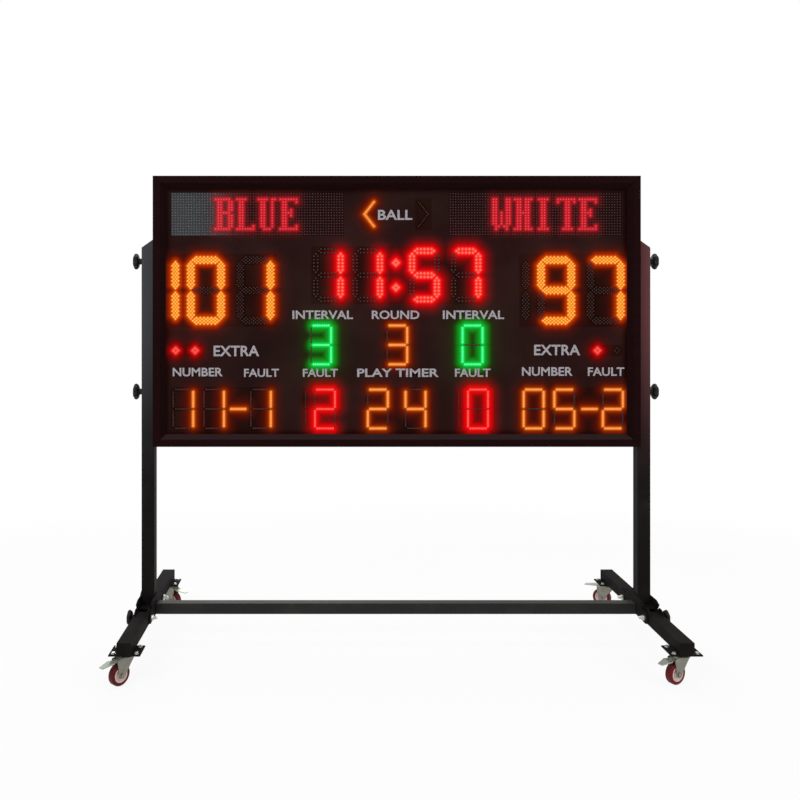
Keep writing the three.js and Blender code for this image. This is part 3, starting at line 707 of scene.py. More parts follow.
def apply_modifier(obj: bpy.types.Object, kind: str, **settings: object) -> None:
    """Adds one modifier with its settings and applies it.

    Args:
        obj: The object.
        kind: Type of the modifier.
        settings: Its properties.
    """
    select(obj)
    modifier = obj.modifiers.new(kind.lower(), kind)
    for key, value in settings.items():
        setattr(modifier, key, value)
    bpy.ops.object.modifier_apply(modifier=modifier.name)


def smooth(obj: bpy.types.Object) -> None:
    """Shades a piece smooth, but for its sharp edges."""
    select(obj)
    bpy.ops.object.shade_smooth_by_angle(angle=SHARP)


def rounded(obj: bpy.types.Object, width: float) -> None:
    """Bevels the sharp edges of a piece and smooths it."""
    apply_modifier(obj, "BEVEL", width=width, segments=2, limit_method="ANGLE", angle_limit=SHARP)
    smooth(obj)


def spun(name: str, profile: Sequence[Place], steps: int, closed: bool = False) -> bpy.types.Object:
    """Spins a profile about Z.

    Args:
        name: Name of the new object.
        profile: Points of radius and height, in metres.
        steps: Facets round the axis.
        closed: Whether the profile's last point joins its first.

    Returns:
        The closed shape, with its faces outwards.
    """
    count = len(profile)
    edges = [(i, (i + 1) % count) for i in range(count if closed else count - 1)]
    mesh = bpy.data.meshes.new(name)
    mesh.from_pydata([(radius, 0, height) for radius, height in profile], edges, [])
    obj = linked(name, mesh)
    with editing(obj):
        bpy.ops.mesh.select_all(action="SELECT")
        bpy.ops.mesh.spin(steps=steps, angle=math.tau, center=(0, 0, 0), axis=(0, 0, 1))
        bpy.ops.mesh.select_all(action="SELECT")
        bpy.ops.mesh.remove_doubles(threshold=MERGE)
        bpy.ops.mesh.normals_make_consistent(inside=False)
    return obj


def turned(name: str, profile: Sequence[Place], steps: int, closed: bool = False) -> bpy.types.Object:
    """Spins a profile about Z and smooths it.

    Args:
        name: Name of the new object.
        profile: Points of radius and height, in metres.
        steps: Facets round the axis.
        closed: Whether the profile's last point joins its first.

    Returns:
        The closed, smooth shape.
    """
    obj = spun(name, profile, steps, closed)
    smooth(obj)
    return obj


def joined(name: str, parts: Sequence[bpy.types.Object]) -> bpy.types.Object:
    """Joins parts into the first one, under a new name.

    Args:
        name: Name of the whole.
        parts: What is joined.

    Returns:
        The first part, which holds them all.
    """
    select(*parts)
    if len(parts) > 1:
        bpy.ops.object.join()
    return named(parts[0], name)


def copied(master: bpy.types.Object, name: str, place: Matrix) -> bpy.types.Object:
    """Copies a finished shape with its own mesh, to a new place.

    Args:
        master: The finished shape.
        name: Name of the copy.
        place: Where it goes.

    Returns:
        The copy.
    """
    obj = linked(name, master.data.copy())
    obj.data.name = name
    obj.data.transform(place)
    return obj


def riding(obj: bpy.types.Object, body: str, slot: str, *nodes: str) -> bpy.types.Object:
    """Lets a new piece ride on its body and reports it.

    Args:
        obj: The piece.
        body: The CAD body that it moves with.
        slot: The record's material slot; not used.
        nodes: CAD nodes that it stands for.

    Returns:
        The same piece.
    """
    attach(obj, body)
    if nodes:
        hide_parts(*nodes)
    log.info("%s: %d faces on %s", obj.name, len(obj.data.polygons), body)
    return obj


def corners(node: str) -> tuple[Vector, Vector]:
    """Lowest and highest corner of a CAD node."""
    low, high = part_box(node)
    return Vector(low), Vector(high)


def middle_of(node: str) -> Vector:
    """Middle of a CAD node's box."""
    low, high = corners(node)
    return (low + high) / 2


class Hue(Enum):
    """What a lamp shows."""

    AMBER = "amber"
    SOFT_AMBER = "soft_amber"
    RED = "red"
    SOFT_RED = "soft_red"
    GREEN = "green"
    NAME_RED = "name_red"
    OFF = "off"
    NAME_OFF = "name_off"
    NAME_NEAR = "name_near"
    BONUS = "bonus"


@dataclass(frozen=True)
class Halo:
    """One term of the light round a lamp: a colour, a reach in mm and how suddenly it ends."""

    colour: Colour
    reach: float
    power: float

    def at(self, distance: np.ndarray) -> np.ndarray:
        """Light at an array of distances."""
        share = np.exp(-((distance / (self.reach * MM)) ** self.power))
        return share[:, None] * np.array(self.colour)[None, :]


LENSES = {
    Hue.AMBER: LampDome("lamp_amber", painted(247, 169, 60), painted(252, 184, 78)),
    Hue.SOFT_AMBER: LampDome("lamp_soft_amber", painted(242, 142, 64), painted(248, 154, 78)),
    Hue.RED: LampDome("lamp_red", painted(253, 98, 82), painted(255, 114, 96)),
    Hue.SOFT_RED: LampDome("lamp_soft_red", painted(254, 86, 78), painted(255, 102, 92)),
    Hue.BONUS: LampDome("lamp_bonus", painted(250, 74, 70), painted(254, 90, 86)),
    Hue.GREEN: LampDome("lamp_green", painted(66, 255, 140), painted(96, 255, 164)),
    Hue.NAME_RED: LampDome("lamp_name_red", painted(222, 58, 72), painted(238, 76, 88)),
    Hue.OFF: LampDome("lamp_off", painted(28, 11, 7), painted(58, 34, 27), False),
    Hue.NAME_OFF: NameDome("lamp_name_off", painted(94, 96, 100), painted(114, 116, 120)),
    # Unlit lenses beside a lit one: painted red light from their lit neighbours
    Hue.NAME_NEAR: LampDome("lamp_name_near", painted(88, 22, 25), painted(104, 30, 33), False),
}

HALOS = {
    Hue.AMBER: (
        Halo((0.4, 0.25, 0.022), 5, 4),
        Halo((0.5, 0.036, 0), 15, 2.2),
        Halo((0.1, 0.004, 0), 30, 2),
        Halo((0.014, 0, 0), 45, 1),
    ),
    Hue.SOFT_AMBER: (
        Halo((0.56, 0.19, 0.025), 6, 4),
        Halo((0.28, 0.032, 0), 13, 2),
        Halo((0.1, 0.005, 0), 27, 2),
        Halo((0.012, 0, 0), 40, 1),
    ),
    Hue.RED: (
        Halo((0.2, 0.07, 0.045), 6.5, 3),
        Halo((0.6, 0, 0), 18, 3),
        Halo((0.27, 0, 0.002), 34, 2.5),
        Halo((0.016, 0, 0.001), 60, 1),
    ),
    Hue.SOFT_RED: (
        Halo((0.15, 0.04, 0.03), 5, 4),
        Halo((0.52, 0, 0.001), 18, 4),
        Halo((0.25, 0, 0.001), 34, 2.5),
        Halo((0.012, 0, 0), 50, 1),
    ),
    Hue.BONUS: (
        Halo((0.3, 0.06, 0.045), 6, 3),
        Halo((0.4, 0, 0.001), 16, 3),
        Halo((0.16, 0, 0), 27, 2),
        Halo((0.012, 0, 0), 50, 1),
    ),
    Hue.GREEN: (
        Halo((0, 0.46, 0.1), 8, 3),
        Halo((0, 0.3, 0.014), 23, 3),
        Halo((0, 0.035, 0.001), 36, 2),
        Halo((0, 0.01, 0), 50, 1),
    ),
    Hue.NAME_RED: (Halo((0.58, 0.014, 0.024), 8, 2), Halo((0.11, 0.001, 0.002), 22, 2)),
}

# Light between the segments of a board: its colour, by hue, and its two halos as reach and power
BOARD_GLOW = {
    Hue.SOFT_AMBER: (0.02, 0, 0),
    Hue.RED: (0.035, 0, 0),
    Hue.SOFT_RED: (0.06, 0, 0.001),
    Hue.GREEN: (0, 0.04, 0.001),
}
BOARD_GLOW_OUTER = (45, 4)
BOARD_GLOW_INNER = (17, 3)

# Dark field round each kind of lamp: its strength, reach in metres and power. Round lit lamps it is painted
# shade; round unlit lamps it only darkens the face
DARK_FIELD = {Hue.OFF: (0.7, 8 * MM, 4), Hue.NAME_RED: (0.8, 9 * MM, 2), Hue.GREEN: (1.0, 38 * MM, 3)}
# Painted shade round the other lit lamps
OTHER_DARK_FIELD = (1.0, 29 * MM, 3)


class Rows(Enum):
    """How the lamps of one segment stand."""

    SINGLE = "one line"
    OUTLINE = "two lines that meet in a point at each end"
    STAGGERED = "three and two in turn, cut to a point at each end"


# Ends of each segment's middle line, as shares of the digit's half width and half height
SEGMENT_ENDS = {
    "a": ((-1, 1), (1, 1)),
    "b": ((1, 0), (1, 1)),
    "c": ((1, -1), (1, 0)),
    "d": ((-1, -1), (1, -1)),
    "e": ((-1, -1), (-1, 0)),
    "f": ((-1, 0), (-1, 1)),
    "g": ((-1, 0), (1, 0)),
}
SEGMENTS_OF = {"0": "abcdef", "1": "bc", "2": "abged", "3": "abgcd", "4": "fgbc", "5": "afgcd", "7": "abc"}
SEGMENTS_OF["9"] = "abcdfg"


@dataclass(frozen=True)
class DigitStyle:
    """Size and lamps of a digit, in metres.

    Attributes:
        width: Width over the lamps.
        height: Height over the lamps.
        stroke: Width of one segment.
        rows: How the lamps of a segment stand.
        pitch: Distance from lamp to lamp, or from row to row.
        radius: Radius of a lamp.
        gap: Length of a middle line that has no lamps, both ends together.
        opening: Width and height of its window in the face.
    """

    width: float
    height: float
    stroke: float
    rows: Rows
    pitch: float
    radius: float
    gap: float
    opening: Place

    def segments(self) -> dict[str, tuple[Vector, Vector]]:
        """Ends of the seven segments' middle lines, from the digit's middle.

        Returns:
            Both ends of each segment, by its letter.
        """
        right = (self.width - self.stroke) / 2
        top = (self.height - self.stroke) / 2
        return {
            key: tuple(Vector((x * right, z * top)) for x, z in ends) for key, ends in SEGMENT_ENDS.items()
        }

    def lamps(self, start: Vector, end: Vector, gap: float) -> list[Vector]:
        """Places of the lamps on one segment.

        Args:
            start: One end of the middle line.
            end: The other end.
            gap: Length that stays free at both ends together.

        Returns:
            The lamps' middles.
        """
        along = (end - start).normalized()
        aside = Vector((-along.y, along.x))
        middle = (start + end) / 2
        length = (end - start).length - gap
        spread = self.stroke / 2 - self.radius
        if self.rows is Rows.SINGLE:
            return self.line(middle, along, length - 2 * self.radius)
        found = []
        if self.rows is Rows.OUTLINE:
            for side in (-1, 1):
                inner = length - 2 * spread - self.pitch
                found += self.line(middle + side * spread * aside, along, inner)
                found.append(middle + side * (length / 2 - self.radius) * along)
            return found
        last = int((length / 2 - self.radius / 2) / self.pitch)
        for i in range(-last, last + 1):
            reach = i * self.pitch
            for share in (-1, 0, 1) if i % 2 else (-0.5, 0.5):
                if abs(share) * spread <= length / 2 - abs(reach):
                    found.append(middle + reach * along + share * spread * aside)
        return found

    def line(self, middle: Vector, along: Vector, length: float) -> list[Vector]:
        """Lamps at an even distance on one line."""
        count = max(1, round(length / self.pitch))
        return [middle + along * length * (i / count - 0.5) for i in range(count + 1)]


SCORE = DigitStyle(
    141 * MM, 254 * MM, 29 * MM, Rows.STAGGERED, 6.95 * MM, 3.4 * MM, 8 * MM, (160 * MM, 271 * MM)
)
CLOCK = DigitStyle(
    114 * MM, 202 * MM, 22 * MM, Rows.OUTLINE, 12 * MM, 4.2 * MM, 14 * MM, (124 * MM, 212 * MM)
)
SMALL = DigitStyle(87 * MM, 157 * MM, 13 * MM, Rows.SINGLE, 8 * MM, 3.9 * MM, 11 * MM, (97 * MM, 161 * MM))
FAULTS = DigitStyle(
    87 * MM, 157 * MM, 13 * MM, Rows.SINGLE, 7.8 * MM, 3.2 * MM, 10 * MM, (97 * MM, 161 * MM)
)


@dataclass
class Window:
    """A rectangular opening in the face, in metres."""

    left: float
    right: float
    bottom: float
    top: float

    @classmethod
    def around(cls, x: float, z: float, half_wide: float, half_high: float) -> Window:
        """A window round its middle."""
        return cls(x - half_wide, x + half_wide, z - half_high, z + half_high)

    def grown(self, margin: float) -> Window:
        """The same window with a margin all round."""
        return Window(self.left - margin, self.right + margin, self.bottom - margin, self.top + margin)

    def holds(self, x: float, z: float) -> bool:
        """Whether a point of the face is in the window."""
        return self.left < x < self.right and self.bottom < z < self.top

    def size(self, depth: float) -> tuple[float, float, float]:
        """Its width, a depth and its height."""
        return self.right - self.left, depth, self.top - self.bottom

    def middle(self, deep: float) -> tuple[float, float, float]:
        """Its middle, at a place along the depth."""
        return (self.left + self.right) / 2, deep, (self.bottom + self.top) / 2


# Lamps of a diamond: how many, and how far those at its corners and on its sides stand from its middle
DIAMOND_LAMPS = 8
DIAMOND_REACHES = (10 * MM, 7 * MM)


@dataclass
class LampField:
    """One board of the display: its windows, and the lamps in them by what they show.

    Attributes:
        node: Name of the CAD board.
        slot: Material slot of its lamps.
        windows: Its openings in the face.
        lamps: Places and radii of its lamps.
    """

    node: str
    slot: str
    windows: list[Window] = field(default_factory=list)
    lamps: dict[Hue, list[tuple[float, float, float]]] = field(default_factory=dict)

    def put(self, hue: Hue, x: float, z: float, radius: float) -> None:
        """Adds one lamp."""
        self.lamps.setdefault(hue, []).append((x, z, radius))

    def bars(self, x: float, z: float, segments: Iterable, shown: str, hue: Hue, style: DigitStyle) -> None:
        """Adds the lamps of several segments.

        Args:
            x: Middle of the digit, across.
            z: Middle of the digit, up.
            segments: Letters and ends of the segments.
            shown: Letters of the lit ones.
            hue: What a lit one shows.
            style: Size and lamps of the digit.
        """
        for key, (start, end) in segments:
            for lamp in style.lamps(start, end, style.gap):
                self.put(hue if key in shown else Hue.OFF, x + lamp.x, z + lamp.y, style.radius)

    def diamond(self, x: float, z: float, hue: Hue, lamp: float) -> None:
        """Adds lamps that stand in a diamond.

        Args:
            x: Middle of the diamond, across.
            z: Middle of the diamond, up.
            hue: What its lamps show.
            lamp: Radius of a lamp.
        """
        for i in range(DIAMOND_LAMPS):
            angle = math.tau * i / DIAMOND_LAMPS
            reach = DIAMOND_REACHES[i % 2]
            self.put(hue, x + reach * math.cos(angle), z + reach * math.sin(angle), lamp)


@dataclass
class FaceLayout:
    """Where everything stands on the face, in metres and in pixels of the reference photograph.

    Attributes:
        eye: Place of the eye, across.
        recess_share: Depth of the face behind the frame's front, as a share of the eye's distance.
    """

    photo_left: float = 153.9
    photo_right: float = 635.3
    photo_top: float = 169.0
    photo_bottom: float = 448.8
    name_row: float = 208.0
    score_row: float = 287.2
    clock_row: float = 271.4
    colon_rows: Place = (258.5, 284.2)
    middle_row: float = 343.8
    bonus_row: float = 349.6
    bottom_row: float = 410.3
    clock_columns: tuple[float, ...] = (327, 365.8, 421.9, 462.8)
    colon_column: float = 393.8
    colon_lamp: float = 3.6 * MM
    middle_columns: tuple[float, ...] = (320, 395, 469.3)
    shot_columns: Place = (375.9, 413.1)
    fouls_columns: Place = (323.8, 474.7)
    border: float = 45 * MM
    side_gap_left: float = 21 * MM
    side_gap_right: float = 8 * MM
    score_pitch: float = 183.5 * MM
    score_half_reach: float = 113 * MM
    player_pitch: float = 114 * MM
    dash_pitch: float = 90 * MM
    dash_length: float = 60 * MM
    home_last_nudge: float = -6 * MM
    guest_dash_nudge: float = 3.5 * MM
    fouls_half_reach: float = 72 * MM
    bonus_side_gap: float = 22.5 * MM
    bonus_pitch: float = 72 * MM
    bonus_reach: float = 14 * MM
    bonus_lamp: float = 3 * MM
    arrow_reach: float = 100.5 * MM
    arrow_width: float = 48 * MM
    arrow_height: float = 108 * MM
    arrow_stroke: float = 13 * MM
    arrow_inset: float = 9 * MM
    arrow_lamp: float = 3.3 * MM
    arrow_lamps: int = 8
    matrix_height: float = 160 * MM
    matrix_side_gap: float = 20 * MM
    matrix_arrow_gap: float = 71 * MM
    margin: float = 6 * MM
    eye: float = -0.2645
    recess_share: float = 0.0064

    def __post_init__(self) -> None:
        """Takes the panel's size from the frame."""
        low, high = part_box("front_frame")
        self.width = high[0] - low[0]
        self.bottom = low[2]
        self.top = high[2]
        self.half = self.width / 2 - self.border

    def across(self, pixel: float) -> float:
        """Place across the recessed face of a pixel column, seen from the eye's place.

        Args:
            pixel: The pixel column.

        Returns:
            The place in metres.
        """
        middle = (self.photo_left + self.photo_right) / 2
        x = (pixel - middle) / (self.photo_right - self.photo_left) * self.width
        return x + (x - self.eye) * self.recess_share

    def up(self, pixel: float) -> float:
        """Height on the face of a pixel row."""
        share = (pixel - self.photo_top) / (self.photo_bottom - self.photo_top)
        return self.top - share * (self.top - self.bottom)

    def digits(
        self, board: LampField, row: float, style: DigitStyle, hue: Hue, shown: dict[float, str]
    ) -> None:
        """Adds a window with a row of digits.

        Args:
            board: Board that takes them.
            row: Pixel row of their middles.
            style: Size and lamps.
            hue: Colour of what is lit.
            shown: What each digit shows, by its place across.
        """
        z = self.up(row)
        for x, text in shown.items():
            board.bars(x, z, style.segments().items(), SEGMENTS_OF[text], hue, style)
        wide, high = style.opening
        board.windows.append(Window(min(shown) - wide / 2, max(shown) + wide / 2, z - high / 2, z + high / 2))

    def half_digit(self, board: LampField, x: float, style: DigitStyle, lit: bool, hue: Hue) -> None:
        """Adds a half digit at the left of a board's last window, and widens the window.

        Args:
            board: Board that takes it.
            x: Its place across.
            style: Size and lamps.
            lit: Whether its 1 is shown.
            hue: Colour of what is lit.
        """
        window = board.windows[-1]
        inset = Vector(((style.width - style.stroke) / 2, 0))
        pair = [(key, (a - inset, b - inset)) for key, (a, b) in style.segments().items() if key in "bc"]
        board.bars(x, (window.bottom + window.top) / 2, pair, "bc" if lit else "", hue, style)
        window.left = x - (style.stroke + style.opening[0] - style.width) / 2

    def possession(self) -> LampField:
        """The two arrows, of which the left one is lit.

        Returns:
            The board.
        """
        board = LampField("possession_board", "led_amber")
        z = self.up(self.name_row)
        half = Vector((self.arrow_width / 2, self.arrow_height / 2))
        for side, hue in ((-1, Hue.SOFT_AMBER), (1, Hue.OFF)):
            x = side * self.arrow_reach
            reach = side * (half.x - self.arrow_stroke / 2)
            tip = Vector((x + reach, z))
            board.windows.append(Window.around(x, z, *half).grown(self.margin))
            for level in (-1, 1):
                end = Vector((x - reach, z + level * (half.y - self.arrow_inset)))
                for i in range(self.arrow_lamps):
                    lamp = tip.lerp(end, i / (self.arrow_lamps - 1))
                    if i or level > 0:
                        board.put(hue, lamp.x, lamp.y, self.arrow_lamp)
        return board

    def scores(self) -> list[LampField]:
        """Home score 101 and guest score 97.

        Returns:
            The home board and the guest board.
        """
        home = LampField("home_score_board", "led_amber")
        half = -self.half + self.side_gap_left + SCORE.stroke / 2
        tens = half + self.score_half_reach
        self.digits(home, self.score_row, SCORE, Hue.AMBER, {tens: "0", tens + self.score_pitch: "1"})
        self.half_digit(home, half, SCORE, True, Hue.AMBER)
        guest = LampField("guest_score_board", "led_amber")
        units = self.half - self.side_gap_right - SCORE.width / 2
        tens = units - self.score_pitch
        self.digits(guest, self.score_row, SCORE, Hue.AMBER, {tens: "9", units: "7"})
        self.half_digit(guest, tens - self.score_half_reach, SCORE, False, Hue.AMBER)
        return [home, guest]

    def clock(self) -> LampField:
        """Game clock that shows 11:57.

        Returns:
            The board.
        """
        board = LampField("clock_board", "led_red")
        shown = dict(zip(map(self.across, self.clock_columns), "1157"))
        self.digits(board, self.clock_row, CLOCK, Hue.RED, shown)
        for row in self.colon_rows:
            board.diamond(self.across(self.colon_column), self.up(row), Hue.RED, self.colon_lamp)
        return board

    def middle(self) -> LampField:
        """Green 3, amber 3 and green 0 under the clock.

        Returns:
            The board.
        """
        board = LampField("timeout_and_period_board", "led_green")
        for pixel, text, hue in zip(self.middle_columns, "330", (Hue.GREEN, Hue.SOFT_AMBER, Hue.GREEN)):
            self.digits(board, self.middle_row, SMALL, hue, {self.across(pixel): text})
        return board

    def bonus(self, board: LampField, places: Sequence[float], lit: Sequence[bool]) -> None:
        """Adds a window with two diamonds of lamps.

        Args:
            board: Board that takes it.
            places: Places of the diamonds, across.
            lit: Which of them are lit.
        """
        z = self.up(self.bonus_row)
        for x, on in zip(places, lit):
            board.diamond(x, z, Hue.BONUS if on else Hue.OFF, self.bonus_lamp)
        reach = self.bonus_reach
        window = Window(min(places) - reach, max(places) + reach, z - reach, z + reach)
        board.windows.append(window.grown(self.margin))

    def players(self, board: LampField, first: float, shown: str, nudges: Place) -> None:
        """Adds a player's number of two digits, a dash and the player's faults.

        Args:
            board: Board that takes them.
            first: Place across of the first digit.
            shown: The three digits.
            nudges: How far the dash and the last digit stand off their even places.
        """
        second = first + self.player_pitch
        dash = second + self.dash_pitch
        places = dict(zip((first, second, dash + self.dash_pitch + nudges[1]), shown))
        self.digits(board, self.bottom_row, SMALL, Hue.SOFT_AMBER, places)
        half = Vector((self.dash_length / 2, 0))
        for lamp in SMALL.lamps(-half, half, 0):
            z = self.up(self.bottom_row) + lamp.y
            board.put(Hue.SOFT_AMBER, dash + nudges[0] + lamp.x, z, SMALL.radius)

    def faults(self, board: LampField, pixel: float, shown: str) -> None:
        """Adds a team's faults, one digit and an unlit half digit.

        Args:
            board: Board that takes them.
            pixel: Pixel column of the digit.
            shown: What the digit shows.
        """
        x = self.across(pixel)
        self.digits(board, self.bottom_row, FAULTS, Hue.SOFT_RED, {x: shown})
        self.half_digit(board, x - self.fouls_half_reach, FAULTS, False, Hue.SOFT_RED)

    def lower(self) -> list[LampField]:
        """The bottom row with the bonus lamps over it.

        Returns:
            The home board, the shot clock's board and the guest board.
        """
        home = LampField("home_lower_board", "led_amber")
        reach = self.half - self.bonus_side_gap - self.bonus_reach
        self.bonus(home, (-reach, -reach + self.bonus_pitch), (True, True))
        first = -self.half + self.side_gap_left + SMALL.width / 2
        self.players(home, first, "111", (0, self.home_last_nudge))
        self.faults(home, self.fouls_columns[0], "2")
        shot = LampField("shot_clock_board", "led_amber")
        shown = dict(zip(map(self.across, self.shot_columns), "24"))
        self.digits(shot, self.bottom_row, SMALL, Hue.SOFT_AMBER, shown)
        guest = LampField("guest_lower_board", "led_amber")
        self.bonus(guest, (reach - self.bonus_pitch, reach), (True, False))
        last = self.half - self.side_gap_right - SMALL.width / 2
        first = last - 2 * self.dash_pitch - self.player_pitch
        self.players(guest, first, "052", (self.guest_dash_nudge, 0))
        self.faults(guest, self.fouls_columns[1], "0")
        return [home, shot, guest]

    def names(self) -> list[LampField]:
        """The two name matrices, whose words are plain colours.

        Returns:
            The home matrix and the guest matrix.
        """
        inner = self.arrow_reach + self.arrow_width / 2 + self.matrix_arrow_gap
        outer = self.half - self.matrix_side_gap
        z = self.up(self.name_row)
        reach = self.matrix_height / 2
        boards = []
        for team, word, left, right in (("home", "BLUE", -outer, -inner), ("guest", "WHITE", inner, outer)):
            window = Window(left, right, z - reach, z + reach)
            boards.append(LampField(f"{team}_name_matrix", "matrix", [window]))
            NameMatrix(window).light(boards[-1], word)
        return boards

    def boards(self) -> list[LampField]:
        """Every board of the display."""
        return [self.possession(), *self.scores(), self.clock(), self.middle(), *self.lower(), *self.names()]


# Letters as runs of equal rows: how many, and which lamps of each are lit
GLYPHS = {
    "B": "1######. 4.##..## 1.#####. 5.##..## 1######.",
    "L": "1####... 9.##.... 1.##...# 1#######",
    "U": "1####.## 10.##..#. 1..###..",
    "E": "1####### 1.##...# 2.##.... 1.##.#.. 1.####.. 1.##.#.. 3.##.... 1.##...# 1#######",
    "W": "5##...## 5##.#.## 1.##.##. 1.#...#.",
    "H": "1###.### 4.##.##. 1.#####. 5.##.##. 1###.###",
    "I": "1.####.. 10..##... 1.####..",
    "T": "1####### 1#..##.# 9...##.. 1..####.",
}


@dataclass
class NameMatrix:
    """Lamps of a name matrix in rows and columns.

    Attributes:
        first_column: Column where the word starts.
        first_row: Row, from the top, where the word starts.
        letter_width: Columns of a letter.
        letter_pitch: Columns from letter to letter.
        radius: Radius of a lamp.
    """

    window: Window
    columns: int = 64
    rows: int = 16
    first_column: int = 16
    first_row: int = 2
    letter_width: int = 7
    letter_pitch: int = 8
    radius: float = 2.5 * MM

    def lit(self, word: str) -> set[tuple[int, int]]:
        """Columns and rows of the lamps that show a word.

        Args:
            word: The word.

        Returns:
            Column and row of each lit lamp.
        """
        lit = set()
        for i, letter in enumerate(word):
            runs = [(run[: -self.letter_width], run[-self.letter_width :]) for run in GLYPHS[letter].split()]
            lines = [line for count, line in runs for _ in range(int(count))]
            for row, line in enumerate(lines):
                marks = [column for column, mark in enumerate(line) if mark == "#"]
                start = self.first_column + i * self.letter_pitch
                lit |= {(start + column, self.first_row + row) for column in marks}
        return lit

    def light(self, board: LampField, word: str) -> None:
        """Adds all lamps, with a word lit.

        Args:
            board: Board that takes the lamps.
            word: The word.
        """
        lit = self.lit(word)
        across = (self.window.right - self.window.left) / self.columns
        up = (self.window.top - self.window.bottom) / self.rows
        for column in range(self.columns):
            for row in range(self.rows):
                around = {(column + i, row + j) for i in (-1, 0, 1) for j in (-1, 0, 1)}
                # Unlit lamps beside a lit one take the painted red light of NAME_NEAR
                dark = Hue.NAME_NEAR if around & lit else Hue.NAME_OFF
                hue = Hue.NAME_RED if (column, row) in lit else dark
                x = self.window.left + (column + 0.5) * across
                board.put(hue, x, self.window.top - (row + 0.5) * up, self.radius)


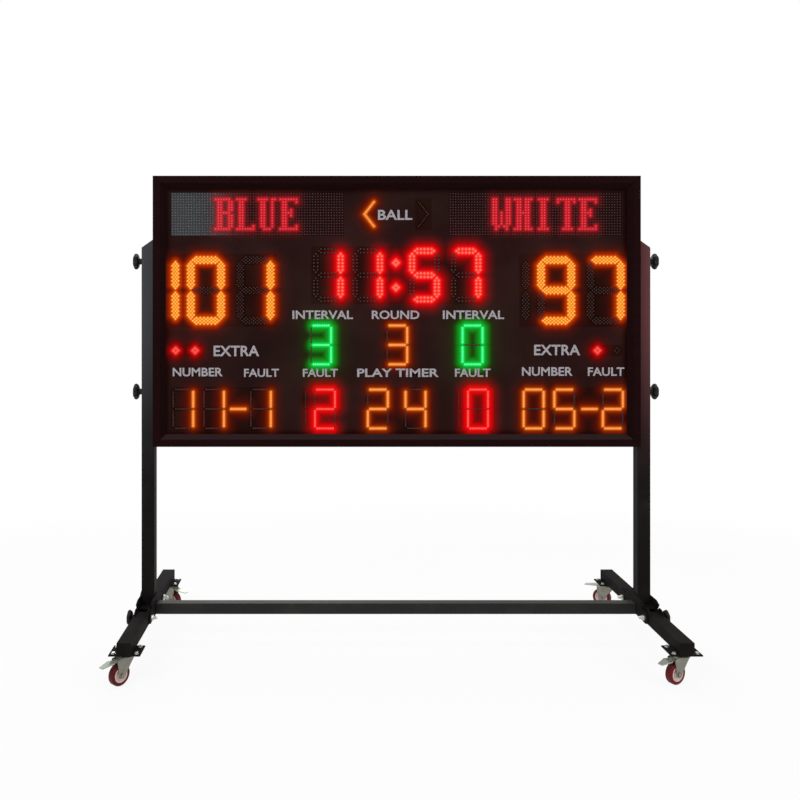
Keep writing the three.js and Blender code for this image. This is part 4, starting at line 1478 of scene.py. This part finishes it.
@dataclass
class DisplayFace:
    """Face sheet, board plates, lamps and printed labels.

    Attributes:
        sheet_step: Grid of the face sheet.
        plate_step: Grid of the board plates.
        thickness: Thickness of the face sheet.
        gap: Clearance round a board's window.
        flange: Margin of the plate behind the face.
        flange_thickness: Thickness of that plate.
        dome_height: Height of a lamp over the face.
        rim: Strength of the painted shadow that the frame casts inside its opening.
        rim_shadow_reach: Width of that painted shadow.
        grey_ends: Where a matrix's sheet starts and ends to turn brown, as shares of the half width.
    """

    layout: FaceLayout
    sheet_step: float = 9 * MM
    plate_step: float = 4.5 * MM
    thickness: float = 3 * MM
    gap: float = 0.3 * MM
    flange: float = 8 * MM
    flange_thickness: float = 2 * MM
    flange_edge: float = 0.4 * MM
    dome_height: float = 2.4 * MM
    rim: float = 0.85
    rim_shadow_reach: float = 14 * MM
    grey_ends: Place = (-0.9, -0.62)

    def __post_init__(self) -> None:
        """Takes the face's place from the frame."""
        self.low, self.high = corners("face_panel")
        self.front = self.low.y
        self.boards = self.layout.boards()
        self.trees: dict[Hue, kdtree.KDTree] = {}

    def build(self) -> None:
        """Builds and dresses the whole display."""
        self.plant_trees()
        self.face_sheet()
        for board in self.boards:
            self.plate(board)
            self.domes(board)
        PrintedLabels(self.layout, self.front).build()

    def plant_trees(self) -> None:
        """Sorts the lamps by what they show, for finding the nearest one."""
        for hue in (*HALOS, Hue.OFF):
            lamps = [lamp for board in self.boards for lamp in board.lamps.get(hue, [])]
            tree = kdtree.KDTree(len(lamps))
            for i, (x, z, _) in enumerate(lamps):
                tree.insert((x, 0, z), i)
            tree.balance()
            self.trees[hue] = tree

    def glow(self, obj: bpy.types.Object, inside: bool) -> None:
        """Writes the painted glow of the lamps on a piece's front, and the share of the dark field with its
        painted shade, into its glow attribute.

        Args:
            obj: The piece.
            inside: Whether it is a board, which also takes the light between its segments.
        """
        mesh = obj.data
        count = len(mesh.vertices)
        places = np.empty(3 * count)
        mesh.vertices.foreach_get("co", places)
        places = places.reshape(count, 3)
        light = np.zeros((count, 3))
        # Painted shadow of the frame along its opening
        dark = self.rim_shadow_share(places)
        for hue, tree in self.trees.items():
            distance = np.array([tree.find((x, 0, z))[2] for x, _, z in places])
            for halo in HALOS.get(hue, ()):
                light += halo.at(distance)
            if inside and hue in BOARD_GLOW:
                outer, inner = (Halo(BOARD_GLOW[hue], *ends) for ends in (BOARD_GLOW_OUTER, BOARD_GLOW_INNER))
                light += outer.at(distance) - inner.at(distance)
            # Painted shade round lit lamps; round unlit lamps the face is only darker
            share, reach, power = DARK_FIELD.get(hue, OTHER_DARK_FIELD)
            dark = np.maximum(dark, share * np.exp(-((distance / reach) ** power)))
        light[places[:, 1] > self.front + self.gap] = 0
        values = np.column_stack((np.minimum(light, 1), 1 - dark))
        layer = mesh.color_attributes.new("glow", "FLOAT_COLOR", "POINT")
        layer.data.foreach_set("color", values.ravel())

    def rim_shadow_share(self, places: np.ndarray) -> np.ndarray:
        """Share of the painted shadow that the frame casts along its opening, at an array of places.

        Args:
            places: Points in metres, one to a row.

        Returns:
            One share to a point.
        """
        layout = self.layout
        middle = (layout.top + layout.bottom) / 2
        beside = layout.half - np.abs(places[:, 0])
        over = (layout.top - layout.bottom) / 2 - layout.border - np.abs(places[:, 2] - middle)
        border = np.maximum(np.minimum(beside, over), 0)
        return self.rim * np.exp(-((border / self.rim_shadow_reach) ** 2))

    def slab(self, name: str, window: Window, step: float, depth: float) -> bpy.types.Object:
        """Makes a fine grid in the face's plane that looks to the front, and thickens it backwards.

        Args:
            name: Name of the object.
            window: Its outline.
            step: Largest side of a grid cell.
            depth: Its thickness, or zero for the bare grid.

        Returns:
            The slab.
        """
        wide, _, high = window.size(0)
        select()
        bpy.ops.mesh.primitive_grid_add(
            x_subdivisions=math.ceil(wide / step),
            y_subdivisions=math.ceil(high / step),
            size=1,
            location=window.middle(self.front),
            rotation=(QUARTER, 0, 0),
        )
        obj = added(name, (wide, high, 1))
        if depth:
            apply_modifier(obj, "SOLIDIFY", thickness=depth, offset=-1)
        return obj

    def face_sheet(self) -> None:
        """The face with an opening for each window."""
        outline = Window(self.low.x, self.high.x, self.low.z, self.high.z)
        sheet = self.slab("face_sheet", outline, self.sheet_step, 0)
        windows = [window for board in self.boards for window in board.windows]
        columns = sorted({edge for w in windows for edge in (w.left, w.right)})
        rows = sorted({edge for w in windows for edge in (w.bottom, w.top)})
        with editing(sheet):
            for normal, edges in (((1, 0, 0), columns), ((0, 0, 1), rows)):
                for edge in edges:
                    bpy.ops.mesh.select_all(action="SELECT")
                    place = tuple(edge * v for v in normal)
                    bpy.ops.mesh.bisect(plane_co=place, plane_no=normal, threshold=MERGE)
        pick(sheet, lambda face: any(w.holds(face.center.x, face.center.z) for w in windows))
        with editing(sheet):
            bpy.ops.mesh.delete(type="FACE")
        apply_modifier(sheet, "SOLIDIFY", thickness=self.thickness, offset=-1)
        self.glow(sheet, False)
        FaceSheet().dress(sheet)
        riding(sheet, ROOT, "face", "face_panel")

    def plate(self, board: LampField) -> None:
        """The front of a board in each window, on a plate behind the face.

        Args:
            board: The board.
        """
        parts = []
        depth = self.thickness + self.gap + self.flange_thickness
        for i, window in enumerate(board.windows):
            inside = window.grown(-self.gap)
            parts.append(self.slab(f"{board.node}_front_{i}", inside, self.plate_step, depth))
            behind = window.grown(self.flange)
            middle = behind.middle(self.high.y + self.gap + self.flange_thickness / 2)
            bpy.ops.mesh.primitive_cube_add(size=1, location=middle)
            parts.append(added(f"{board.node}_flange_{i}", behind.size(self.flange_thickness)))
            rounded(parts[-1], self.flange_edge)
        plate = joined(f"{board.node}_plate", parts)
        self.glow(plate, True)
        finish = FaceSheet("board_sheet", painted(29, 14, 11), painted(38, 21, 17))
        if board.slot == "matrix":
            left, right = (share * self.layout.half for share in self.grey_ends)
            finish = MatrixSheet(left=left, right=right)
        finish.dress(plate)
        riding(plate, ROOT, board.slot, board.node)

    def domes(self, board: LampField) -> None:
        """Every lamp of a board, copied from one small dome.

        Args:
            board: The board.
        """
        select()
        bpy.ops.mesh.primitive_uv_sphere_add(segments=6, ring_count=4, radius=1, rotation=(QUARTER, 0, 0))
        master = added("dome_master")
        points = np.array([tuple(v.co) for v in master.data.vertices])
        faces = [tuple(face.vertices) for face in master.data.polygons]
        bpy.data.objects.remove(master)
        vertices: list[np.ndarray] = []
        polygons: list[tuple[int, ...]] = []
        slots: list[int] = []
        for slot, lamps in enumerate(board.lamps.values()):
            for x, z, radius in lamps:
                start = len(vertices) * len(points)
                scale = np.array((radius, self.dome_height, radius))
                vertices.append(points * scale + np.array((x, self.front, z)))
                polygons += [tuple(start + v for v in face) for face in faces]
            slots += [slot] * len(faces) * len(lamps)
        mesh = bpy.data.meshes.new(f"{board.node}_lamps")
        mesh.from_pydata(np.concatenate(vertices).tolist(), [], polygons)
        obj = linked(mesh.name, mesh)
        for hue in board.lamps:
            LENSES[hue].dress(obj)
        mesh.polygons.foreach_set("material_index", slots)
        mesh.shade_smooth()
        riding(obj, ROOT, board.slot)


@dataclass
class PrintedLabels:
    """Pale words printed on the face, each fitted to its place.

    Attributes:
        layout: The face's layout.
        front: Place of the face's front.
        height: Thickness of the print.
        gap: Distance from the face to the back of the print.
        places: Words with the pixels of their left, right, top and bottom.
    """

    layout: FaceLayout
    front: float
    height: float = 0.25 * MM
    gap: float = 0.02 * MM
    places: tuple[tuple[str, float, float, float, float], ...] = (
        ("BALL", 376, 410, 203.5, 214),
        ("INTERVAL", 291.7, 351.4, 308, 317),
        ("ROUND", 370, 417, 308, 317),
        ("INTERVAL", 440, 500.5, 308, 317),
        ("EXTRA", 214, 259, 344.5, 355.5),
        ("EXTRA", 530, 575.5, 343.5, 354.5),
        ("NUMBER", 173.7, 223, 367.5, 376.5),
        ("FAULT", 244, 278.5, 368.5, 377),
        ("FAULT", 302, 336.5, 368.5, 377),
        ("PLAY TIMER", 355.6, 436, 368.3, 377),
        ("FAULT", 452, 487, 368.3, 377),
        ("NUMBER", 518, 568, 366.8, 376),
        ("FAULT", 583, 619, 367, 376),
    )

    def build(self) -> None:
        """Prints every word as one piece."""
        words = [self.word(i, *place) for i, place in enumerate(self.places)]
        labels = joined("printed_labels", words)
        PrintedPaint().dress(labels)
        riding(labels, ROOT, "face")

    def word(self, index: int, text: str, *box: float) -> bpy.types.Object:
        """One word as a thin mesh that fills its box on the face.

        Args:
            index: Number of the word.
            text: The word.
            box: Pixels of its left, right, top and bottom.

        Returns:
            The word.
        """
        select()
        bpy.ops.object.text_add()
        made = bpy.context.object.data
        made.body = text
        made.offset = 0.022
        made.extrude = 0.5
        made.resolution_u = 3
        bpy.ops.object.convert(target="MESH")
        obj = added(f"word_{index}")
        points = np.array([tuple(v.co) for v in obj.data.vertices])
        low, high = points.min(axis=0), points.max(axis=0)
        left, right = map(self.layout.across, box[:2])
        top, bottom = map(self.layout.up, box[2:])
        size = np.array((right - left, top - bottom, self.height)) / (high - low)
        upright = Matrix.Rotation(QUARTER, 4, "X")
        place = Matrix.Translation((left, self.front - self.gap, bottom))
        fit = Matrix.Diagonal((*size, 1)) @ Matrix.Translation(-low)
        obj.data.transform(place @ upright @ fit)
        return obj


@dataclass
class HandKnob:
    """Six-lobed hand knob with its neck and threaded stud.

    Attributes:
        radius: Over the lobes.
        thickness: Of the head.
        dip: Depth of the hollows between lobes.
        thread: From turn to turn of the thread.
        nut_radius: Over the corners of the nut on the stud, or zero for none.
        stud_beyond: Length of stud that stands out of the nut.
    """

    radius: float
    thickness: float
    neck_radius: float
    neck_length: float
    stud_radius: float
    dip: float = 4.2 * MM
    lobes: int = 6
    thread: float = 1.5 * MM
    nut_radius: float = 0.0
    nut_height: float = 10 * MM
    nut_edge: float = 0.9 * MM
    stud_beyond: float = 12 * MM

    def head(self) -> bpy.types.Object:
        """Domed head with soft lobes and a dished cap, its seat at zero, pointing to +Z.

        Returns:
            The head.
        """
        r, t = self.radius, self.thickness
        shares = ((0, 0), (0.56, 0), (0.76, 0.07), (0.92, 0.24), (1, 0.46), (0.99, 0.64), (0.92, 0.81))
        shares += ((0.76, 0.93), (0.5, 1), (0.45, 1))
        profile = [(x * r, z * t) for x, z in shares]
        profile += [(0.42 * r, t - 1.4 * MM), (0.2 * r, t - 1 * MM), (0, t - 1 * MM)]
        head = spun("knob_head", profile, 72)
        for vertex in head.data.vertices:
            angle = math.atan2(vertex.co.y, vertex.co.x)
            reach = min(1, math.hypot(vertex.co.x, vertex.co.y) / r) ** 2
            shrink = 1 - reach * self.dip / r * (0.5 - 0.5 * math.cos(self.lobes * angle)) ** 1.4
            vertex.co.x *= shrink
            vertex.co.y *= shrink
        smooth(head)
        head.data.transform(Matrix.Translation((0, 0, self.neck_length)))
        return head

    def neck(self) -> bpy.types.Object:
        """Moulded neck that swells towards the head, on its seat at zero.

        Returns:
            The neck.
        """
        r, t = self.neck_radius, self.neck_length
        profile = [(0, 0), (r - 1 * MM, 0), (r, 1 * MM), (r, 0.55 * t)]
        profile += [(r + 2 * MM, t + 1 * MM), (0, t + 1 * MM)]
        return turned("knob_neck", profile, 36)

    def stud(self, length: float) -> bpy.types.Object:
        """Threaded stud from the seat inwards, with its nut.

        Args:
            length: From the seat to the stud's end.

        Returns:
            The stud.
        """
        profile = [(0, 0.5 * MM), (self.stud_radius, 0.5 * MM)]
        for i in range(int((length - 2 * MM) / self.thread)):
            height = -i * self.thread
            profile.append((self.stud_radius, height - 0.4 * self.thread))
            profile.append((self.stud_radius - 0.6 * MM, height - 0.9 * self.thread))
        profile += [(self.stud_radius - 1 * MM, -length), (0, -length)]
        stud = turned("knob_stud", profile, 24)
        if not self.nut_radius:
            return stud
        middle = self.stud_beyond + self.nut_height / 2 - length
        select()
        bpy.ops.mesh.primitive_cylinder_add(
            vertices=6, radius=self.nut_radius, depth=self.nut_height, location=(0, 0, middle)
        )
        nut = added("knob_nut")
        rounded(nut, self.nut_edge)
        return joined("knob_stud", [stud, nut])

    def build(self, node: str, name: str) -> None:
        """Places one knob over its CAD node.

        Args:
            node: The CAD node, whose body has its name with _body behind it.
            name: Name of the finished piece.
        """
        low, high = corners(node)
        middle = middle_of(node)
        sign = math.copysign(1, middle.x)
        outside, inside = (high.x, low.x) if sign > 0 else (low.x, high.x)
        seat = outside - sign * (self.thickness + self.neck_length)
        place = Matrix.Translation((seat, middle.y, middle.z)) @ Matrix.Rotation(sign * QUARTER, 4, "Y")
        parts = [self.head(), self.neck(), self.stud(abs(inside - seat))]
        for part, finish in zip(parts, (BLACK_PLASTIC, BLACK_PLASTIC, BRIGHT_ZINC)):
            finish.dress(part)
            part.data.transform(place)
        riding(joined(name, parts), f"{node}_body", "black_plastic", node)


CLAMP_KNOB = HandKnob(30 * MM, 21 * MM, 11 * MM, 13 * MM, 5 * MM)
LOCK_KNOB = HandKnob(28 * MM, 18 * MM, 10 * MM, 9 * MM, 6 * MM, nut_radius=10 * MM)


def build_knobs() -> None:
    """Places the clamp knobs of the cabinet and the lock knobs of the leg pivots."""
    for side in SIDES:
        for level in ("upper", "lower"):
            CLAMP_KNOB.build(f"{side}_{level}_knob", f"{side}_{level}_clamp_knob")
    for corner in CORNERS:
        LOCK_KNOB.build(f"{corner}_lock_knob", f"{corner}_pivot_lock_knob")


@dataclass
class CasterWheels:
    """Treads and hubs of the four casters, spun about their axles.

    Attributes:
        radius: Of the tread.
        width: Of the tread.
        tread_depth: From the hub's rim to the tread's face.
        shoulder: Round of the tread's shoulders.
        gap: Between hub and tread.
        rim: Width of the hub's ring.
        recess: Depth of the hub's web.
        boss: Radius of the bearing boss.
        boss_half: Half of the boss's length.
        bore: Radius of the bore.
        edge: Bevel of the hub's and the tread's edges.
        fillet: Bevel of the boss and the web.
    """

    radius: float = 36.5 * MM
    width: float = 24 * MM
    tread_depth: float = 11 * MM
    shoulder: float = 5 * MM
    gap: float = 0.3 * MM
    rim: float = 4 * MM
    recess: float = 4 * MM
    boss: float = 10 * MM
    boss_half: float = 14.2 * MM
    bore: float = 4.6 * MM
    edge: float = 0.8 * MM
    fillet: float = 1 * MM

    def tyre(self) -> bpy.types.Object:
        """Tread with round shoulders.

        Returns:
            The tread, with its axle along Z.
        """
        half = self.width / 2
        seat = self.radius - self.tread_depth
        profile = [(seat, -half + self.edge), (seat + self.edge, -half)]
        for side, turn in ((-1, range(7)), (1, range(6, -1, -1))):
            for i in turn:
                angle = math.radians(15 * i)
                r = self.radius - self.shoulder + self.shoulder * math.sin(angle)
                profile.append((r, side * (half - self.shoulder + self.shoulder * math.cos(angle))))
        profile += [(seat + self.edge, half), (seat, half - self.edge)]
        return turned("tyre_master", profile, 64, True)

    def hub(self) -> bpy.types.Object:
        """Hub with a dished web and a bearing boss.

        Returns:
            The hub, with its axle along Z.
        """
        half = self.width / 2
        outer = self.radius - self.tread_depth - self.gap
        web = half - self.recess
        rim = outer - self.rim
        side = [
            (self.bore, self.boss_half),
            (self.boss - self.fillet, self.boss_half),
            (self.boss, self.boss_half - self.fillet),
            (self.boss, web + self.fillet),
            (self.boss + self.fillet, web),
            (rim - self.fillet, web),
            (rim, web + self.fillet),
            (rim, half - self.edge),
            (rim + self.edge, half),
            (outer - self.edge, half),
            (outer, half - self.edge),
        ]
        return turned("hub_master", side + [(r, -h) for r, h in reversed(side)], 64, True)

    def build(self) -> None:
        """Places the treads and hubs over their CAD nodes."""
        masters = (self.tyre(), TREAD, "tread", "wheel_tyre"), (self.hub(), HUB, "hub", "wheel_hub")
        for corner in CORNERS:
            for master, finish, slot, part in masters:
                node = f"{corner}_{part}"
                piece = copied(master, f"{node}_turned", self.axle(corner, node))
                finish.dress(piece)
                riding(piece, f"{corner}_wheel", slot, node)
        for master, *_ in masters:
            bpy.data.objects.remove(master)

    def axle(self, corner: str, node: str) -> Matrix:
        """Place of a wheel's axle, turned by the way from the swivel axis to the wheel's middle.

        Args:
            corner: Corner where the caster stands.
            node: The wheel's CAD node.

        Returns:
            The place.
        """
        middle = middle_of(node)
        reach = middle - middle_of(f"{corner}_caster_plate")
        turn = Matrix.Rotation(math.atan2(reach.y, reach.x), 4, "Z") @ Matrix.Rotation(QUARTER, 4, "X")
        return Matrix.Translation(middle) @ turn


@dataclass
class Fasteners:
    """Bolts of the seat plates, screws of the rear cover and the inlet's pins.

    Attributes:
        bolt_radius: Over a bolt head's corners.
        bolt_turns: How a bolt's turn changes with its place, across and along.
        washer: Thickness of a bolt's washer.
        seat: From the caster plate's top to the seat plate's top.
        inset_x: Bolts from the seat plate's middle, across.
        inset_y: Bolts from the swivel axis, along.
        screw_inset: Screws from the cover's edge.
        screw_turns: How a screw's turn changes with its place, across and up.
        socket: Radius of a screw's socket.
        pin: Size of a pin.
        pins: Places of the pins across and up, from the middle of the mains socket.
        pin_depth: From the inlet's face to a pin's middle.
        mains_drop: From the inlet's middle to the mains socket's.
    """

    bolt_radius: float = 6.5 * MM
    bolt_height: float = 4.5 * MM
    bolt_inset: float = 0.9 * MM
    bolt_turns: Place = (0.3, 0.7)
    edge: float = 0.5 * MM
    washer_radius: float = 8 * MM
    washer: float = 1.2 * MM
    washer_edge: float = 0.3 * MM
    seat: float = 4.3 * MM
    inset_x: float = 38 * MM
    inset_y: float = 29 * MM
    screw_radius: float = 4 * MM
    screw_height: float = 2.2 * MM
    screws_across: int = 7
    screws_up: int = 4
    screw_inset: float = 13 * MM
    screw_turns: Place = (7, 3)
    socket: float = 1.5 * MM
    pin: tuple[float, float, float] = (2 * MM, 12 * MM, 4 * MM)
    pins: tuple[Place, ...] = ((-7 * MM, 0), (0, 4 * MM), (7 * MM, 0))
    pin_depth: float = 8 * MM
    mains_drop: float = 17 * MM

    def bolt(self) -> bpy.types.Object:
        """Hexagon head on a washer, standing up on zero.

        Returns:
            The bolt.
        """
        select()
        middle = (0, 0, self.washer + self.bolt_height / 2)
        bpy.ops.mesh.primitive_cylinder_add(
            vertices=6, radius=self.bolt_radius, depth=self.bolt_height, location=middle
        )
        head = added("bolt_head")
        pick(head, lambda face: face.normal.z > 0.9)
        with editing(head):
            bpy.ops.mesh.inset(thickness=self.bolt_inset)
        rounded(head, self.edge)
        r, h, edge = self.washer_radius, self.washer, self.washer_edge
        washer = turned("bolt_washer", [(0, 0), (r, 0), (r, h - edge), (r - edge, h), (0, h)], 28)
        return joined("bolt_master", [head, washer])

    def screw(self) -> bpy.types.Object:
        """Low round head with a socket, looking to +Z.

        Returns:
            The screw.
        """
        r, h = self.screw_radius, self.screw_height
        arc = [(r * math.cos(t), h * math.sin(t)) for t in np.linspace(0, 1.1, 5)]
        profile = [(0, 0), *arc, (self.socket, h), (self.socket, 0.4 * h), (0, 0.4 * h)]
        return turned("screw_master", profile, 18)

    def build(self) -> None:
        """Places all the small fasteners."""
        bolt = self.bolt()
        for corner in CORNERS:
            low, high = corners(f"{corner}_leg")
            end = low.y if corner.startswith("front") else high.y
            middle = middle_of(f"{corner}_caster_plate")
            middle.z = corners(f"{corner}_caster_plate")[1].z + self.seat
            spots = []
            for across in (-1, 1):
                for along in (-1, 1):
                    offset = Vector((across * self.inset_x, along * self.inset_y, 0))
                    angle = self.bolt_turns[0] * across + self.bolt_turns[1] * along + end
                    turn = Matrix.Rotation(angle, 4, "Z")
                    spots.append(Matrix.Translation(middle + offset) @ turn)
            self.fasten(f"{corner}_seat_bolts", bolt, spots, f"{corner}_foot", BRIGHT_ZINC)
        bpy.data.objects.remove(bolt)
        self.cover_screws()
        self.inlet_pins()

    def fasten(
        self, name: str, master: bpy.types.Object, spots: Sequence[Matrix], body: str, finish: Finish
    ) -> None:
        """Places copies of a fastener as one piece.

        Args:
            name: Name of the piece.
            master: The fastener.
            spots: Where the copies stand.
            body: CAD body that they ride on.
            finish: Their finish.
        """
        piece = joined(name, [copied(master, f"{name}_copy", spot) for spot in spots])
        finish.dress(piece)
        riding(piece, body, "zinc")

    def cover_screws(self) -> None:
        """Screws along the rear cover's edge."""
        low, high = corners("rear_cover")
        left, right = low.x + self.screw_inset, high.x - self.screw_inset
        bottom, top = low.z + self.screw_inset, high.z - self.screw_inset
        spots = [(x, z) for x in np.linspace(left, right, self.screws_across) for z in (bottom, top)]
        spots += [(x, z) for z in np.linspace(bottom, top, self.screws_up)[1:-1] for x in (left, right)]
        master = self.screw()
        face = Matrix.Rotation(-QUARTER, 4, "X")
        places = []
        for x, z in spots:
            turn = Matrix.Rotation(self.screw_turns[0] * x + self.screw_turns[1] * z, 4, "Z")
            places.append(Matrix.Translation((x, high.y, z)) @ face @ turn)
        self.fasten("rear_cover_screws", master, places, ROOT, ZINC)
        bpy.data.objects.remove(master)

    def inlet_pins(self) -> None:
        """Three flat pins in the mains socket."""
        middle = middle_of("power_inlet")
        back = corners("power_inlet")[1].y - self.pin_depth
        pins = []
        for x, z in self.pins:
            select()
            place = (middle.x + x, back, middle.z - self.mains_drop + z)
            bpy.ops.mesh.primitive_cube_add(size=1, location=place)
            pins.append(added("inlet_pin", self.pin))
            rounded(pins[-1], self.edge)
        piece = joined("inlet_pins", pins)
        BRIGHT_ZINC.dress(piece)
        riding(piece, ROOT, "zinc")


@dataclass
class FrameDressing:
    """Finishes and softened edges of the CAD nodes that stay in view."""

    layout: FaceLayout
    tube_edge: float = 2.6 * MM
    sheet_edge: float = 0.5 * MM
    press_edge: float = 0.8 * MM

    def dress(self, node: str, finish: Finish, width: float) -> None:
        """Gives a CAD node its finish, and rounds its sharp edges with live modifiers.

        Args:
            node: The CAD node.
            finish: Its finish.
            width: Width of the rounding.
        """
        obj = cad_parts[node]
        obj.data.materials.clear()
        finish.dress(obj)
        obj.modifiers.new("weld", "WELD").merge_threshold = MERGE
        bevel = obj.modifiers.new("bevel", "BEVEL")
        bevel.width = width
        bevel.segments = 3
        bevel.limit_method = "ANGLE"
        bevel.angle_limit = math.radians(50)
        log.info("%s: %s", node, finish.material().name)

    def build(self) -> None:
        """Dresses all nodes that aren't replaced."""
        layout = self.layout
        height = layout.top - layout.bottom
        coat = FrameCoat(layout.bottom + height / 2, layout.width / 2, height / 2, layout.border)
        self.dress("front_frame", coat, self.press_edge)
        self.dress("crossbar", CROSSBAR_LIT_COAT, self.tube_edge)
        for side in SIDES:
            self.dress(f"{side}_upright", UPRIGHT_COATS[side], self.tube_edge)
            self.dress(f"{side}_foot_centre", STAND_COAT, self.press_edge)
            self.dress(f"power_supply_{side}", VentedSheet(), self.sheet_edge)
        for corner in CORNERS:
            self.dress(f"{corner}_leg", STAND_COAT, self.press_edge)
            self.dress(f"{corner}_caster_plate", ZINC, self.sheet_edge)
            self.dress(f"{corner}_caster_fork", FORK_ZINC, self.sheet_edge)
            self.dress(f"{corner}_brake_pedal", ZINC, self.press_edge)
        for node, finish in (
            ("cabinet_shell", SHEET_COAT),
            ("rear_cover", SHEET_COAT),
            ("controller_board", CircuitBoard()),
            ("buzzer_horn", BLACK_PLASTIC),
            ("power_inlet", BLACK_PLASTIC),
            ("rocker_switch", RED_PLASTIC),
        ):
            self.dress(node, finish, self.sheet_edge)


@dataclass
class Studio:
    """Floor, lights, world and camera.

    Attributes:
        eye: Place of the camera.
        lens: Focal length on a 36 mm sensor.
        shift: Shift of the lens.
        aim: What the lights look at.
        lamps: Name, place, side and power of each light.
        clear_reach: Distance where the floor starts to turn white.
        white_reach: Distance where it has turned.
        drop: Depth of the floor under the wheels.
        ambient: Strength of the world as a light.
    """

    eye: tuple[float, float, float] = (-0.2645, -3.176, 1.2288)
    lens: float = 38.07
    shift: Place = (0.09375, -0.10875)
    aim: tuple[float, float, float] = (0, 0, 0.9)
    lamps: tuple[tuple, ...] = (
        ("key", (-2.6, -3.4, 3.6), 2.4, 105),
        ("fill", (3.4, -2.6, 2.4), 2.6, 50),
        ("top", (0.3, 0.8, 4.2), 2.4, 55),
        ("back", (-1.0, 4.0, 2.6), 2.4, 45),
    )
    clear_reach: float = 1.3
    white_reach: float = 2.6
    floor_half: float = 40.0
    drop: float = 0.5 * MM
    ambient: float = 0.45

    def build(self) -> None:
        """Sets the whole studio up."""
        self.camera()
        self.floor()
        self.world()
        for name, place, side, power in self.lamps:
            data = bpy.data.lights.new(name, "AREA")
            data.size = side
            data.energy = power
            obj = linked(name, data)
            obj.location = place
            obj.rotation_euler = (Vector(self.aim) - Vector(place)).to_track_quat("-Z", "Y").to_euler()
        bpy.context.scene.view_settings.view_transform = "Standard"

    def camera(self) -> None:
        """A level camera in front, a little left of the middle."""
        data = bpy.data.cameras.new("camera")
        data.lens = self.lens
        data.sensor_width = 36
        data.shift_x, data.shift_y = self.shift
        obj = linked("camera", data)
        obj.location = self.eye
        obj.rotation_euler = (QUARTER, 0, 0)
        bpy.context.scene.camera = obj

    def floor(self) -> None:
        """A pale floor that turns white away from the object."""
        select()
        bpy.ops.mesh.primitive_plane_add(size=2 * self.floor_half, location=(0, 0, -self.drop))
        floor = added("studio_floor")
        made = Shader("studio_floor", Roughness=0.9, Specular_IOR_Level=0.0)
        across, along, _ = made.axes()
        reach = (across * across * 0.5 + along * along).fade(self.clear_reach**2, self.white_reach**2)
        made.feed("Base Color", made.mix(made.noise(3, 2), (0.8,) * 3, (0.83,) * 3))
        white = made.node("Emission", {"Color": (1, 1, 1), "Strength": 1.0})
        paint = Wire(made, made.bsdf.outputs[0])
        blend = made.node("MixShader", {0: made.shown() * (reach * 0.1 + 0.9), 1: paint, 2: white})
        made.plug(made.tree.nodes["Material Output"].inputs["Surface"], blend)
        floor.data.materials.append(made.material)

    def world(self) -> None:
        """White for what the camera and reflections see, and mild as a light."""
        world = bpy.data.worlds.new("studio")
        bpy.context.scene.world = world
        world.use_nodes = True
        world.node_tree.nodes.clear()
        made = Nodes(world.node_tree)
        mild, white = (
            made.node("Background", {"Color": (1, 1, 1), "Strength": strength})
            for strength in (self.ambient, 1.0)
        )
        blend = made.node("MixShader", {0: made.shown(), 1: mild, 2: white})
        made.plug(made.tree.nodes.new("ShaderNodeOutputWorld").inputs["Surface"], blend)


def main() -> None:
    """Builds the looks in order."""
    logging.basicConfig(level=logging.INFO, format="%(name)s: %(message)s")
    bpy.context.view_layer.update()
    layout = FaceLayout()
    Studio().build()
    FrameDressing(layout).build()
    DisplayFace(layout).build()
    build_knobs()
    CasterWheels().build()
    Fasteners().build()


if __name__ == "__main__":
    main()
